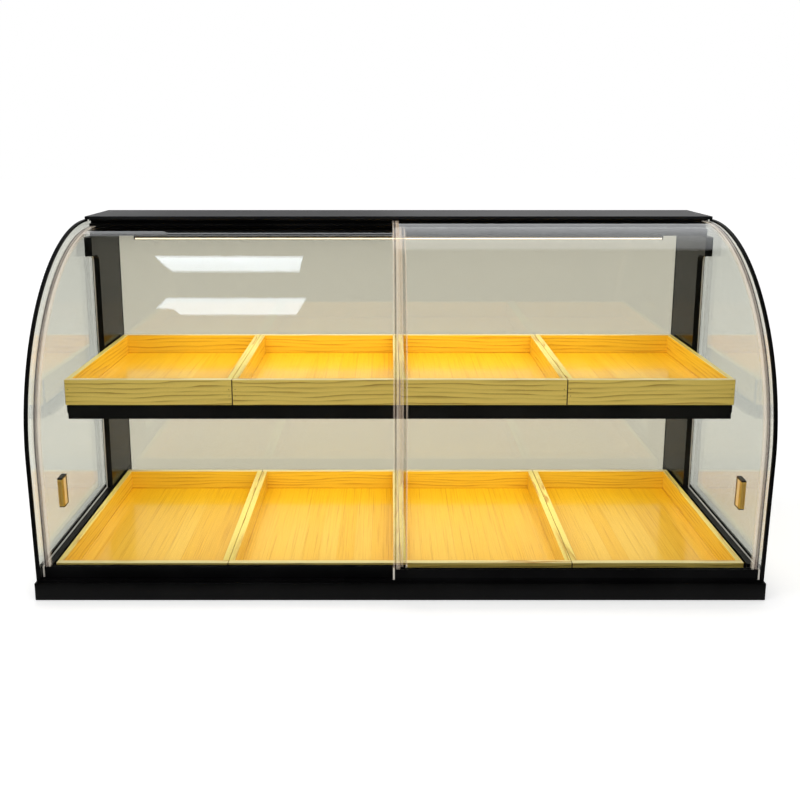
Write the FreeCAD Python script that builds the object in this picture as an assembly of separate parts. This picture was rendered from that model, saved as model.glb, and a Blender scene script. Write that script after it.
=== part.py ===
import FreeCAD, Part

import math
import os

# Curved-front counter display cabinet: a plinth, glass sides and back, two clear doors that slide past
# each other on the bowed front, one shelf, a light bar and eight loose wooden trays.
# Millimetres. X runs to the right, Y to the back and Z up, and the doors face -Y. The origin is the
# middle of the plinth's footprint, on the counter.

# Overall sizes
WIDTH = 1200.0
DEPTH = 500.0
HEIGHT = 600.0

# Bowed front: a leaning straight foot that runs into an arc, then level at the crown
CURVE_LEAN = 2.0
CURVE_SETBACK = 6.0
CROWN_FLAT = 6.4

# Plinth and its deck
PLINTH_HEIGHT = 30.0
FRONT_RAIL_MARGIN = 4.0
REAR_RAIL_DEPTH = 30.0
RAIL_ROUND = 1.5
DECK_THICKNESS = 5.0
DECK_LAP = 12.0

# Glass and what frames it
GLASS_THICKNESS = 4.0
GLASS_INSET = 3.0
GLASS_PLAY = 0.25
GROOVE_DEPTH = 6.0
TRIM_WALL = 0.8
TRIM_DEPTH = 4.0
GLUE_GAP = 0.1
CURB_HEIGHT = 20.0
CURB_LIP = 2.0
REAR_CURB_HEIGHT = 4.5
REAR_GROOVE_DEPTH = 3.5
REAR_BAR_DEPTH = 14.0
REAR_TOP_RAIL_HEIGHT = 34.0
FRAME_THICKNESS = 14.0
LEG_SETBACK = 12.0
LEG_BACK_INSET = 3.0
ARM_REACH = 39.0
ARM_DEPTH = 36.0
ARM_FILLET = 15.0
GASKET_WIDTH = 2.0
GASKET_STAND = 1.5
GASKET_INSET = 1.5

# Roof and the guide that holds the doors' top edges
ROOF_DEPTH = 150.0
ROOF_THICKNESS = 6.0
ROOF_SIDE_INSET = 2.0
ROOF_ROUND = 1.0
GUIDE_SETBACK = 2.0
GUIDE_DEPTH = 24.0
GUIDE_WALL = 2.0
GUIDE_SIDE_INSET = 2.0
GUIDE_FOOT = 13.5
GUIDE_GROOVE_DEPTH = 10.0
GUIDE_PLAY = 0.5

# Sliding doors
DOOR_INSET = 4.0
SHEET_THICKNESS = 4.0
SHEET_TOP_GAP = 2.0
DOOR_END_GAP = 1.0
DOOR_OVERLAP = 24.0
STRIP_WALL = 1.0
STRIP_WEB = 1.5
OUTER_STRIP_WIDTH = 14.0
MEETING_STRIP_WIDTH = 12.0
STRIP_TOP_GAP = 2.0
DOOR_RAIL_WALL = 2.0
DOOR_RAIL_HEIGHT = 19.0
DOOR_RAIL_FLOOR = 6.5
DOOR_RAIL_LIFT = 0.5
DOOR_RAIL_ROUND = 0.6
RAIL_CAP_LENGTH = 3.0
GLIDE_LENGTH = 40.0
GLIDE_WIDTH = 5.0
GLIDE_HEIGHT = 5.0
GLIDE_INSET = 60.0

# Bottom track with a groove for each door
TRACK_BASE = 1.0
TRACK_WALL = 1.0
TRACK_WALL_HEIGHT = 2.0
TRACK_PLAY = 0.5
TRACK_SCREW_END_GAP = 137.0
TRACK_SCREW_INNER = 96.0

# Pulls
PULL_WIDTH = 8.0
PULL_HEIGHT = 50.0
PULL_DEPTH = 22.0
PULL_INSET = 48.0
PULL_CENTRE = 190.0
PULL_BEVEL = 1.2
PULL_END_BEVEL = 3.0
PULL_RECESS_MARGIN = 1.8
PULL_RECESS_DEPTH = 0.8
PULL_FLUTES = 3
PULL_FLUTE_DEPTH = 0.4

# Shelf and its arms
SHELF_HEIGHT = 296.0
SHELF_SETBACK = 128.0
SHELF_LIP = 26.0
SHELF_SHEET = 2.0
SHELF_ROUND = 4.0
SHELF_REAR_GAP = 4.0
ARM_BAR_THICKNESS = 6.0
ARM_BAR_HEIGHT = 20.0
ARM_BAR_FRONT_GAP = 12.0
ARM_BAR_REAR_GAP = 8.0
ARM_BAR_NOSE = 8.0

# Trays
TRAYS_PER_ROW = 4
TRAY_HEIGHT = 45.0
TRAY_BOARD = 10.0
TRAY_FLOOR = 5.0
TRAY_FLOOR_LIFT = 2.0
TRAY_TONGUE = 4.5
TRAY_TONGUE_PLAY = 0.5
TRAY_ROUND = 0.8
TRAY_GAP = 0.8
TRAY_SIDE_GAP = 3.75
LOWER_TRAY_FRONT_GAP = 2.0
LOWER_TRAY_REAR_GAP = 10.0
UPPER_TRAY_OVERHANG = 4.0
UPPER_TRAY_REAR_GAP = 7.0

# Light bar and its supply
LIGHT_END_GAP = 71.0
LIGHT_WIDTH = 18.0
LIGHT_HEIGHT = 4.5
LIGHT_WALL = 1.2
LIGHT_SETBACK = 2.0
LIGHT_BASE = 1.5
LIGHT_CAP = 2.0
BOARD_THICKNESS = 1.0
BOARD_WIDTH = 12.0
DIFFUSER_THICKNESS = 4.0
DIFFUSER_DROP = 3.0
LEAD_DIAMETER = 3.0
LEAD_PLAY = 0.6
LEAD_BEND = 9.0
LEAD_FROM_END = 17.0
LEAD_COVER_WIDTH = 10.0
LEAD_COVER_HEIGHT = 12.0
LEAD_COVER_WALL = 1.0
INLET_BODY = 11.0
INLET_FLANGE = 15.0
INLET_FLANGE_THICKNESS = 1.5
INLET_NUT_THICKNESS = 3.0
INLET_BORE = 6.0
INLET_BORE_DEPTH = 9.0
INLET_PIN = 2.0

# Countersunk screws
SCREW_HEAD = 7.0
SCREW_SHANK = 3.6
SCREW_PLAY = 0.2
SCREW_BITE = 14.0
DECK_SCREW_END_GAP = 128.0
DECK_SCREW_COUNT = 4

# Places across the width, measured out from the middle
SIDE = WIDTH / 2
GLASS_OUT = SIDE - GLASS_INSET
GLASS_IN = GLASS_OUT - GLASS_THICKNESS
TRIM_OUT = GLASS_OUT + TRIM_WALL
TRIM_IN = GLASS_IN - TRIM_WALL
FRAME_OUT = TRIM_IN
FRAME_IN = FRAME_OUT - FRAME_THICKNESS
CURB_OUT = GLASS_OUT + CURB_LIP
SHELF_SIDE = FRAME_IN - ARM_BAR_THICKNESS
DOOR_EDGE = TRIM_IN - DOOR_END_GAP
DOOR_WIDTH = DOOR_EDGE + DOOR_OVERLAP / 2

# Heights
ROOF_UNDER = HEIGHT - ROOF_THICKNESS
CURB_TOP = PLINTH_HEIGHT + CURB_HEIGHT
GROOVE_FLOOR = CURB_TOP - GROOVE_DEPTH
REAR_CURB_TOP = PLINTH_HEIGHT + REAR_CURB_HEIGHT
REAR_GROOVE_FLOOR = REAR_CURB_TOP - REAR_GROOVE_DEPTH
TRACK_FLOOR = PLINTH_HEIGHT + TRACK_BASE
DOOR_RAIL_LOW = TRACK_FLOOR + DOOR_RAIL_LIFT
DOOR_RAIL_TOP = DOOR_RAIL_LOW + DOOR_RAIL_HEIGHT
SHEET_LOW = DOOR_RAIL_LOW + DOOR_RAIL_FLOOR
DOOR_RAIL_MIDDLE = (SHEET_LOW + DOOR_RAIL_TOP) / 2

# The doors run in two layers, a rail, its play and a track wall apart
DOOR_RAIL_THICKNESS = SHEET_THICKNESS + 2 * DOOR_RAIL_WALL
DOOR_PITCH = DOOR_RAIL_THICKNESS + 2 * TRACK_PLAY + TRACK_WALL
OUTER_DOOR_INSET = DOOR_INSET
INNER_DOOR_INSET = DOOR_INSET + DOOR_PITCH

# The arc touches the leaning foot that stands on the plinth and the level crown in front of the roof
LEAN = math.radians(CURVE_LEAN)
FRONT = -DEPTH / 2
BACK = DEPTH / 2
ROOF_FRONT = BACK - ROOF_DEPTH
CROWN_Z = ROOF_UNDER + TRIM_WALL
CURVE_Y = ROOF_FRONT - CROWN_FLAT
FOOT_TO_CENTRE = CURVE_Y - FRONT - CURVE_SETBACK
FOOT_TO_CROWN = CROWN_Z - PLINTH_HEIGHT
CURVE_RADIUS = (FOOT_TO_CENTRE * math.cos(LEAN) + FOOT_TO_CROWN * math.sin(LEAN)) / (1 + math.sin(LEAN))
CURVE_Z = CROWN_Z - CURVE_RADIUS

# Places from front to back
GUIDE_FRONT = ROOF_FRONT + GUIDE_SETBACK
GUIDE_BACK = GUIDE_FRONT + GUIDE_DEPTH
LEG_FRONT = ROOF_FRONT + LEG_SETBACK
LEG_BACK = BACK - LEG_BACK_INSET
ARM_FRONT = LEG_FRONT - ARM_REACH
REAR_BAR_FRONT = BACK - REAR_BAR_DEPTH
REAR_GLASS_FRONT = BACK - (REAR_BAR_DEPTH + GLASS_THICKNESS) / 2
REAR_RAIL_FRONT = BACK - REAR_RAIL_DEPTH
SHEET_BACK = GUIDE_FRONT + GUIDE_GROOVE_DEPTH - SHEET_TOP_GAP
STRIP_BACK = GUIDE_FRONT - STRIP_TOP_GAP


def foot_y(inset, z):
    """Y of the straight foot at height z, on the curve that lies inset inside the trim's outer edge."""
    reach = CURVE_RADIUS - inset
    rise = CURVE_Z - reach * math.sin(LEAN) - z
    return CURVE_Y - reach * math.cos(LEAN) + rise * math.tan(LEAN)


def curve_place(inset, z):
    """Y and lean at height z, on the foot or the arc of the curve inset inside the trim's outer edge."""
    reach = CURVE_RADIUS - inset
    rise = z - CURVE_Z
    if rise <= -reach * math.sin(LEAN):
        return foot_y(inset, z), CURVE_LEAN
    return CURVE_Y - math.sqrt(reach ** 2 - rise ** 2), -math.degrees(math.asin(rise / reach))


OUTER_RAIL_Y = foot_y(OUTER_DOOR_INSET + SHEET_THICKNESS / 2, DOOR_RAIL_MIDDLE)
INNER_RAIL_Y = OUTER_RAIL_Y + DOOR_PITCH
TRACK_HALF_GROOVE = DOOR_RAIL_THICKNESS / 2 + TRACK_PLAY
TRACK_FRONT = OUTER_RAIL_Y - TRACK_HALF_GROOVE - TRACK_WALL
TRACK_BACK = INNER_RAIL_Y + TRACK_HALF_GROOVE + TRACK_WALL
FRONT_RAIL_BACK = TRACK_BACK + FRONT_RAIL_MARGIN
CURB_FRONT = FRONT_RAIL_BACK - FRONT_RAIL_MARGIN / 2

# Guide, arms and light bar hang from the crown downwards
INNER_SHEET_UNDER = CURVE_Z + CURVE_RADIUS - INNER_DOOR_INSET - SHEET_THICKNESS
GUIDE_LOW = INNER_SHEET_UNDER - GUIDE_PLAY - GUIDE_FOOT
ARM_LOW = GUIDE_LOW - ARM_DEPTH
LIGHT_FRONT = GUIDE_FRONT + LIGHT_SETBACK
LIGHT_BACK = LIGHT_FRONT + LIGHT_WIDTH
LIGHT_LOW = GUIDE_LOW - LIGHT_HEIGHT
LIGHT_MIDDLE = (LIGHT_FRONT + LIGHT_BACK) / 2
LIGHT_HALF = FRAME_IN - LIGHT_END_GAP
CHANNEL_HALF = LIGHT_HALF - LIGHT_CAP
BOARD_TOP = GUIDE_LOW - LIGHT_BASE
CHAMBER_FRONT = GUIDE_FRONT + GUIDE_GROOVE_DEPTH + GUIDE_WALL
CHAMBER_BACK = GUIDE_BACK - GUIDE_WALL
LEAD_X = LIGHT_HALF - LEAD_FROM_END
LEAD_Y = CHAMBER_FRONT + LEAD_DIAMETER
LEAD_Z = ROOF_UNDER - LEAD_COVER_HEIGHT + LEAD_COVER_WALL + LEAD_DIAMETER / 2 + GLUE_GAP
INLET_INNER_END = REAR_BAR_FRONT - INLET_NUT_THICKNESS

# Shelf and tray places
SHELF_FRONT = FRONT + SHELF_SETBACK
SHELF_BACK = REAR_GLASS_FRONT - SHELF_REAR_GAP
SHELF_LOW = SHELF_HEIGHT - SHELF_LIP
ARM_BAR_MIDDLE = SHELF_LOW + ARM_BAR_HEIGHT / 2
TRAY_WIDTH = (2 * (FRAME_IN - TRAY_SIDE_GAP) - (TRAYS_PER_ROW - 1) * TRAY_GAP) / TRAYS_PER_ROW
LOWER_TRAY = (FRONT_RAIL_BACK + LOWER_TRAY_FRONT_GAP, REAR_RAIL_FRONT - LOWER_TRAY_REAR_GAP, DECK_THICKNESS)
UPPER_TRAY = (SHELF_FRONT - UPPER_TRAY_OVERHANG, REAR_GLASS_FRONT - UPPER_TRAY_REAR_GAP, SHELF_HEIGHT)

X_AXIS = FreeCAD.Vector(1, 0, 0)
Y_AXIS = FreeCAD.Vector(0, 1, 0)
Z_AXIS = FreeCAD.Vector(0, 0, 1)
ORIGIN = FreeCAD.Vector(0, 0, 0)


def box(x0, x1, y0, y1, z0, z1):
    """Block between two planes on each axis, in either order."""
    low = FreeCAD.Vector(min(x0, x1), min(y0, y1), min(z0, z1))
    return Part.makeBox(abs(x1 - x0), abs(y1 - y0), abs(z1 - z0), low)


def edges_on(shape, **planes):
    """Edges that lie wholly in the given planes, such as y=front, z=top."""
    found = []
    for edge in shape.Edges:
        points = [vertex.Point for vertex in edge.Vertexes]
        gaps = [abs(getattr(p, axis) - place) for p in points for axis, place in planes.items()]
        if max(gaps) < 1e-6:
            found.append(edge)
    return found


def soft_box(x0, x1, y0, y1, z0, z1, radius):
    """Block with every edge rounded, by no more than a third of its thinnest side."""
    block = box(x0, x1, y0, y1, z0, z1)
    thinnest = min(abs(x1 - x0), abs(y1 - y0), abs(z1 - z0))
    return block.makeFillet(min(radius, thinnest / 3), block.Edges)


def rod(start, along, length, diameter):
    """Round bar from a point along a direction."""
    return Part.makeCylinder(diameter / 2, length, start, along)


def mirrored(shape):
    """The same shape on the other side of the middle."""
    return shape.mirror(ORIGIN, X_AXIS)


def save(name, *solids):
    """Write one node, as one solid or as a group of separate solids."""
    shape = solids[0] if len(solids) == 1 else Part.makeCompound(list(solids))
    shape.exportStep("parts/" + name + ".step")


def save_pair(name, right, *more):
    """Write a right-hand node and its mirror image on the left."""
    save("right_" + name, right, *more)
    save("left_" + name, *[mirrored(shape) for shape in (right,) + more])


def prism(edges, x0, x1):
    """Solid between two X planes over a closed outline in the YZ plane."""
    face = Part.Face(Part.Wire(Part.__sortEdges__([edge.toShape() for edge in edges])))
    face.translate(FreeCAD.Vector(min(x0, x1), 0, 0))
    return face.extrude(FreeCAD.Vector(abs(x1 - x0), 0, 0))


def outline(points):
    """Straight edges through (y, z) points, closed."""
    corners = [FreeCAD.Vector(0, y, z) for y, z in points]
    return [Part.LineSegment(a, b) for a, b in zip(corners, corners[1:] + corners[:1])]


def front_curve(inset, low, back):
    """Foot, arc and level crown of the curve that lies inset inside the trim's outer edge, and its ends."""
    reach = CURVE_RADIUS - inset
    halfway = math.radians(135) + LEAN / 2
    start = FreeCAD.Vector(0, foot_y(inset, low), low)
    tangent = FreeCAD.Vector(0, CURVE_Y - reach * math.cos(LEAN), CURVE_Z - reach * math.sin(LEAN))
    middle = FreeCAD.Vector(0, CURVE_Y + reach * math.cos(halfway), CURVE_Z + reach * math.sin(halfway))
    crown = FreeCAD.Vector(0, CURVE_Y, CURVE_Z + reach)
    end = FreeCAD.Vector(0, back, CURVE_Z + reach)
    edges = [Part.LineSegment(start, tangent), Part.Arc(tangent, middle, crown), Part.LineSegment(crown, end)]
    return edges, start, end


def bent_sheet(near, far, low, back, x0, x1):
    """Sheet bent to the front curve between two insets, from height low round to the plane y=back."""
    outer, outer_start, outer_end = front_curve(near, low, back)
    inner, inner_start, inner_end = front_curve(far, low, back)
    ends = [Part.LineSegment(outer_start, inner_start), Part.LineSegment(outer_end, inner_end)]
    return prism(outer + inner + ends, x0, x1)


def screw(head, along, bite, play=0.0):
    """Countersunk screw with its head flush at a point. With play it is the hole for that screw."""
    sink = (SCREW_HEAD - SCREW_SHANK) / 2
    cone = Part.makeCone(SCREW_HEAD / 2 + play, SCREW_SHANK / 2 + play, sink, head, along)
    return cone.fuse(rod(head, along, bite + play, SCREW_SHANK + 2 * play)).removeSplitter()


def screws_and_holes(places, along, bite):
    """Screws at a list of head points, all along one direction, and one tool that cuts their holes."""
    made = [screw(place, along, bite) for place in places]
    holes = Part.makeCompound([screw(place, along, bite, SCREW_PLAY) for place in places])
    return made, holes


def deck_screws():
    """Screws up through the deck's edge into the four plinth rails."""
    half = DECK_LAP / 2
    reach = FRAME_IN - DECK_SCREW_END_GAP
    places = []
    for number in range(DECK_SCREW_COUNT):
        x = reach * (2 * number / (DECK_SCREW_COUNT - 1) - 1)
        places += [FreeCAD.Vector(x, FRONT_RAIL_BACK - half, 0), FreeCAD.Vector(x, REAR_RAIL_FRONT + half, 0)]
    for side in (-1, 1):
        for share in (1 / 4, 3 / 4):
            y = FRONT_RAIL_BACK + share * (REAR_RAIL_FRONT - FRONT_RAIL_BACK)
            places.append(FreeCAD.Vector(side * (FRAME_IN + half), y, 0))
    return screws_and_holes(places, Z_AXIS, DECK_THICKNESS + SCREW_BITE)


def roof_screws():
    """Screws down through the roof into the side frames."""
    x = (FRAME_IN + FRAME_OUT) / 2
    behind_guide = LEG_BACK - GUIDE_BACK
    rows = (GUIDE_BACK + behind_guide / 4, GUIDE_BACK + behind_guide * 3 / 4)
    places = [FreeCAD.Vector(side * x, y, HEIGHT) for side in (-1, 1) for y in rows]
    return screws_and_holes(places, -Z_AXIS, ROOF_THICKNESS + SCREW_BITE)


def track_screws():
    """Screws down the outer groove of the track into the front rail."""
    outer = TRIM_IN - TRACK_SCREW_END_GAP
    columns = (-outer, -TRACK_SCREW_INNER, TRACK_SCREW_INNER, outer)
    places = [FreeCAD.Vector(x, OUTER_RAIL_Y, TRACK_FLOOR) for x in columns]
    return screws_and_holes(places, -Z_AXIS, TRACK_BASE + SCREW_BITE)


def arm_screws():
    """Right-hand screws from inside the shelf through its arm, two of them into the side frame."""
    x = SHELF_SIDE - SHELF_SHEET
    leg = LEG_BACK - LEG_FRONT
    reach = LEG_FRONT - SHELF_FRONT
    into_leg = [FreeCAD.Vector(x, LEG_FRONT + leg * share, ARM_BAR_MIDDLE) for share in (1 / 4, 3 / 4)]
    into_arm = [FreeCAD.Vector(x, SHELF_FRONT + reach * share, ARM_BAR_MIDDLE) for share in (1 / 4, 3 / 4)]
    long, long_holes = screws_and_holes(into_leg, X_AXIS, SHELF_SHEET + ARM_BAR_THICKNESS + SCREW_BITE / 2)
    short, short_holes = screws_and_holes(into_arm, X_AXIS, SHELF_SHEET + ARM_BAR_THICKNESS / 2)
    return long + short, Part.makeCompound([long_holes, short_holes])


def plinth(holes):
    """Four rails round a deck that is let into their undersides."""
    deck = box(-FRAME_IN - DECK_LAP, FRAME_IN + DECK_LAP,
               FRONT_RAIL_BACK - DECK_LAP, REAR_RAIL_FRONT + DECK_LAP, 0, DECK_THICKNESS)
    front = soft_box(-SIDE, SIDE, FRONT, FRONT_RAIL_BACK, 0, PLINTH_HEIGHT, RAIL_ROUND)
    rear = soft_box(-SIDE, SIDE, REAR_RAIL_FRONT, BACK, 0, PLINTH_HEIGHT, RAIL_ROUND)
    right = soft_box(FRAME_IN, SIDE, FRONT_RAIL_BACK, REAR_RAIL_FRONT, 0, PLINTH_HEIGHT, RAIL_ROUND)
    save("plinth_front_rail", front.cut(deck).cut(holes))
    save("plinth_rear_rail", rear.cut(deck).cut(holes))
    save("plinth_right_rail", right.cut(deck).cut(holes))
    save("plinth_left_rail", mirrored(right).cut(deck).cut(holes))
    save("base_deck", deck.cut(holes))


def bottom_track(holes):
    """Low three-walled strip that both door rails run in."""
    strip = box(-TRIM_IN, TRIM_IN, TRACK_FRONT, TRACK_BACK, PLINTH_HEIGHT, TRACK_FLOOR + TRACK_WALL_HEIGHT)
    for middle in (OUTER_RAIL_Y, INNER_RAIL_Y):
        strip = strip.cut(box(-SIDE, SIDE, middle - TRACK_HALF_GROOVE, middle + TRACK_HALF_GROOVE,
                              TRACK_FLOOR, TRACK_FLOOR + TRACK_WALL_HEIGHT))
    save("door_bottom_track", strip.cut(holes))


def side_glass_outline():
    """Edges of the side pane: the bowed front, the level top, the back and the foot."""
    edges, start, end = front_curve(TRIM_WALL + GLUE_GAP, GROOVE_FLOOR, LEG_BACK)
    heel = FreeCAD.Vector(0, LEG_BACK, GROOVE_FLOOR)
    return edges + [Part.LineSegment(end, heel), Part.LineSegment(heel, start)]


def glass_sides():
    """Side panes, the dark channel round their bowed edges and the curbs that they stand in."""
    pane = prism(side_glass_outline(), GLASS_IN, GLASS_OUT)
    channel = bent_sheet(0, TRIM_DEPTH, PLINTH_HEIGHT, ROOF_FRONT, TRIM_IN, TRIM_OUT)
    hollow = bent_sheet(TRIM_WALL, TRIM_DEPTH, PLINTH_HEIGHT, ROOF_FRONT, GLASS_IN, GLASS_OUT)
    toe = foot_y(TRIM_DEPTH, PLINTH_HEIGHT) + TRIM_WALL
    curb = box(FRAME_IN, CURB_OUT, CURB_FRONT, LEG_BACK, PLINTH_HEIGHT, CURB_TOP)
    curb = curb.fuse(box(FRAME_OUT, CURB_OUT, toe, CURB_FRONT, PLINTH_HEIGHT, CURB_TOP)).removeSplitter()
    groove = box(GLASS_IN - GLASS_PLAY, GLASS_OUT + GLASS_PLAY, toe, LEG_BACK, GROOVE_FLOOR, CURB_TOP)
    save_pair("side_glass", pane)
    save_pair("edge_trim", channel.cut(hollow))
    save_pair("base_curb", curb.cut(groove))


def gaskets():
    """Light strip along each curb, up the front of the leg and under the arm."""
    middle_y = LEG_FRONT - ARM_FILLET
    middle_z = ARM_LOW - ARM_FILLET
    inner = ARM_FILLET - GASKET_STAND
    turn = math.radians(45)
    points = {}
    arcs = []
    for name, reach, stand in (("seat", ARM_FILLET, 0), ("face", inner, GASKET_STAND)):
        side = FreeCAD.Vector(0, LEG_FRONT - stand, middle_z)
        top = FreeCAD.Vector(0, middle_y, ARM_LOW - stand)
        between = FreeCAD.Vector(0, middle_y + reach * math.cos(turn), middle_z + reach * math.sin(turn))
        toe = FreeCAD.Vector(0, CURB_FRONT, CURB_TOP + stand)
        heel = FreeCAD.Vector(0, LEG_FRONT - stand, CURB_TOP + stand)
        nose = FreeCAD.Vector(0, ARM_FRONT, ARM_LOW - stand)
        points[name] = (toe, nose)
        arcs += [Part.LineSegment(toe, heel), Part.LineSegment(heel, side),
                 Part.Arc(side, between, top), Part.LineSegment(top, nose)]
    ends = [Part.LineSegment(a, b) for a, b in zip(points["seat"], points["face"])]
    outer = FRAME_OUT - GASKET_INSET
    strip = prism(arcs + ends, outer - GASKET_WIDTH, outer)
    save("glass_gaskets", strip, mirrored(strip))


def side_frames(holes):
    """Upright with a short arm at its top that carries the guide, grooved for the rear pane."""
    shoulder = GUIDE_BACK + GUIDE_PLAY
    plate = prism(outline([(LEG_FRONT, CURB_TOP), (LEG_FRONT, ARM_LOW), (ARM_FRONT, ARM_LOW),
                           (ARM_FRONT, GUIDE_LOW), (shoulder, GUIDE_LOW), (shoulder, ROOF_UNDER),
                           (LEG_BACK, ROOF_UNDER), (LEG_BACK, CURB_TOP)]), FRAME_IN, FRAME_OUT)
    plate = plate.makeFillet(ARM_FILLET, edges_on(plate, y=LEG_FRONT, z=ARM_LOW))
    groove = box(FRAME_IN, FRAME_IN + GROOVE_DEPTH, REAR_GLASS_FRONT - GLASS_PLAY,
                 REAR_GLASS_FRONT + GLASS_THICKNESS + GLASS_PLAY, CURB_TOP, ROOF_UNDER)
    plate = plate.cut(groove)
    save("right_side_frame", plate.cut(holes))
    save("left_side_frame", mirrored(plate).cut(holes))


def rear_wall(inlet_hole):
    """Rear curb, rear pane and the rail that closes the back under the roof."""
    slot = (REAR_GLASS_FRONT - GLASS_PLAY, REAR_GLASS_FRONT + GLASS_THICKNESS + GLASS_PLAY)
    rail_low = ROOF_UNDER - REAR_TOP_RAIL_HEIGHT
    curb = box(-FRAME_IN, FRAME_IN, REAR_BAR_FRONT, BACK, PLINTH_HEIGHT, REAR_CURB_TOP)
    rail = box(-FRAME_IN, FRAME_IN, REAR_BAR_FRONT, BACK, rail_low, ROOF_UNDER)
    pane_half = FRAME_IN + GROOVE_DEPTH - 2 * GLASS_PLAY
    pane = box(-pane_half, pane_half, REAR_GLASS_FRONT, REAR_GLASS_FRONT + GLASS_THICKNESS,
               CURB_TOP, rail_low + GROOVE_DEPTH - 2 * GLASS_PLAY)
    foot = box(-FRAME_IN, FRAME_IN, REAR_GLASS_FRONT, REAR_GLASS_FRONT + GLASS_THICKNESS,
               REAR_GROOVE_FLOOR, CURB_TOP)
    curb_groove = box(-FRAME_IN, FRAME_IN, *slot, REAR_GROOVE_FLOOR, REAR_CURB_TOP)
    rail_groove = box(-FRAME_IN, FRAME_IN, *slot, rail_low, rail_low + GROOVE_DEPTH)
    save("rear_base_curb", curb.cut(curb_groove))
    save("rear_top_rail", rail.cut(rail_groove).cut(inlet_hole))
    save("rear_glass", pane.fuse(foot).removeSplitter())


def roof(holes):
    """Flat top behind the bowed front."""
    half = SIDE - ROOF_SIDE_INSET
    panel = soft_box(-half, half, ROOF_FRONT, BACK, ROOF_UNDER, HEIGHT, ROOF_ROUND)
    save("roof_panel", panel.cut(holes))


def top_guide(lead_hole):
    """Hollow guide under the roof, with a groove for the top edge of each door."""
    half = FRAME_OUT - GUIDE_SIDE_INSET
    guide = box(-half, half, GUIDE_FRONT, GUIDE_BACK, GUIDE_LOW, ROOF_UNDER)
    for inset in (OUTER_DOOR_INSET, INNER_DOOR_INSET):
        top = CURVE_Z + CURVE_RADIUS - inset + GUIDE_PLAY
        guide = guide.cut(box(-half, half, GUIDE_FRONT, GUIDE_FRONT + GUIDE_GROOVE_DEPTH,
                              top - SHEET_THICKNESS - 2 * GUIDE_PLAY, top))
    chamber = box(-half, half, CHAMBER_FRONT, CHAMBER_BACK, GUIDE_LOW + GUIDE_WALL, ROOF_UNDER - GUIDE_WALL)
    toe = box(-half, half, GUIDE_FRONT + GUIDE_WALL, CHAMBER_FRONT, GUIDE_LOW + GUIDE_WALL,
              GUIDE_LOW + GUIDE_FOOT - GUIDE_WALL)
    save("door_top_guide", guide.cut(chamber).cut(toe).cut(lead_hole))


def door(name, side, inset):
    """One sliding door. Side is 1 on the right and -1 on the left, and inset places its layer."""
    def across(edge_distance):
        return side * (DOOR_EDGE - edge_distance)

    rail_y = foot_y(inset + SHEET_THICKNESS / 2, DOOR_RAIL_MIDDLE)
    rail_sides = (rail_y - DOOR_RAIL_THICKNESS / 2, rail_y + DOOR_RAIL_THICKNESS / 2)
    far = inset + SHEET_THICKNESS
    sheet_ends = (across(STRIP_WEB), across(DOOR_WIDTH - STRIP_WEB))
    save(name + "_panel", bent_sheet(inset, far, SHEET_LOW, SHEET_BACK, *sheet_ends))

    seat_ends = (across(STRIP_WEB - GLUE_GAP), across(DOOR_WIDTH - STRIP_WEB + GLUE_GAP))
    seat = bent_sheet(inset - GLUE_GAP, far + GLUE_GAP, SHEET_LOW, SHEET_BACK, *seat_ends)
    strips = []
    for first, last in ((0, OUTER_STRIP_WIDTH), (DOOR_WIDTH - MEETING_STRIP_WIDTH, DOOR_WIDTH)):
        cover = bent_sheet(inset - STRIP_WALL, far + STRIP_WALL, DOOR_RAIL_TOP, STRIP_BACK,
                           across(first), across(last))
        strips.append(cover.cut(seat))
    save(name + "_edge_strips", *strips)

    glides = []
    for distance in (GLIDE_INSET, DOOR_WIDTH - GLIDE_INSET - GLIDE_LENGTH):
        glides.append(box(across(distance), across(distance + GLIDE_LENGTH), rail_y - GLIDE_WIDTH / 2,
                          rail_y + GLIDE_WIDTH / 2, TRACK_FLOOR, TRACK_FLOOR + GLIDE_HEIGHT))
    rail_ends = (across(RAIL_CAP_LENGTH), across(DOOR_WIDTH - RAIL_CAP_LENGTH))
    rail = soft_box(*rail_ends, *rail_sides, DOOR_RAIL_LOW, DOOR_RAIL_TOP, DOOR_RAIL_ROUND)
    save(name + "_rail", rail.cut(seat).cut(Part.makeCompound(glides)))
    save(name + "_glides", *glides)
    caps = []
    for first, last in ((0, RAIL_CAP_LENGTH), (DOOR_WIDTH - RAIL_CAP_LENGTH, DOOR_WIDTH)):
        cap = soft_box(across(first), across(last), *rail_sides, DOOR_RAIL_LOW, DOOR_RAIL_TOP,
                       DOOR_RAIL_ROUND)
        caps.append(cap.cut(seat))
    save(name + "_rail_caps", *caps)
    save(name + "_pull", pull(across(PULL_INSET), inset))


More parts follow.
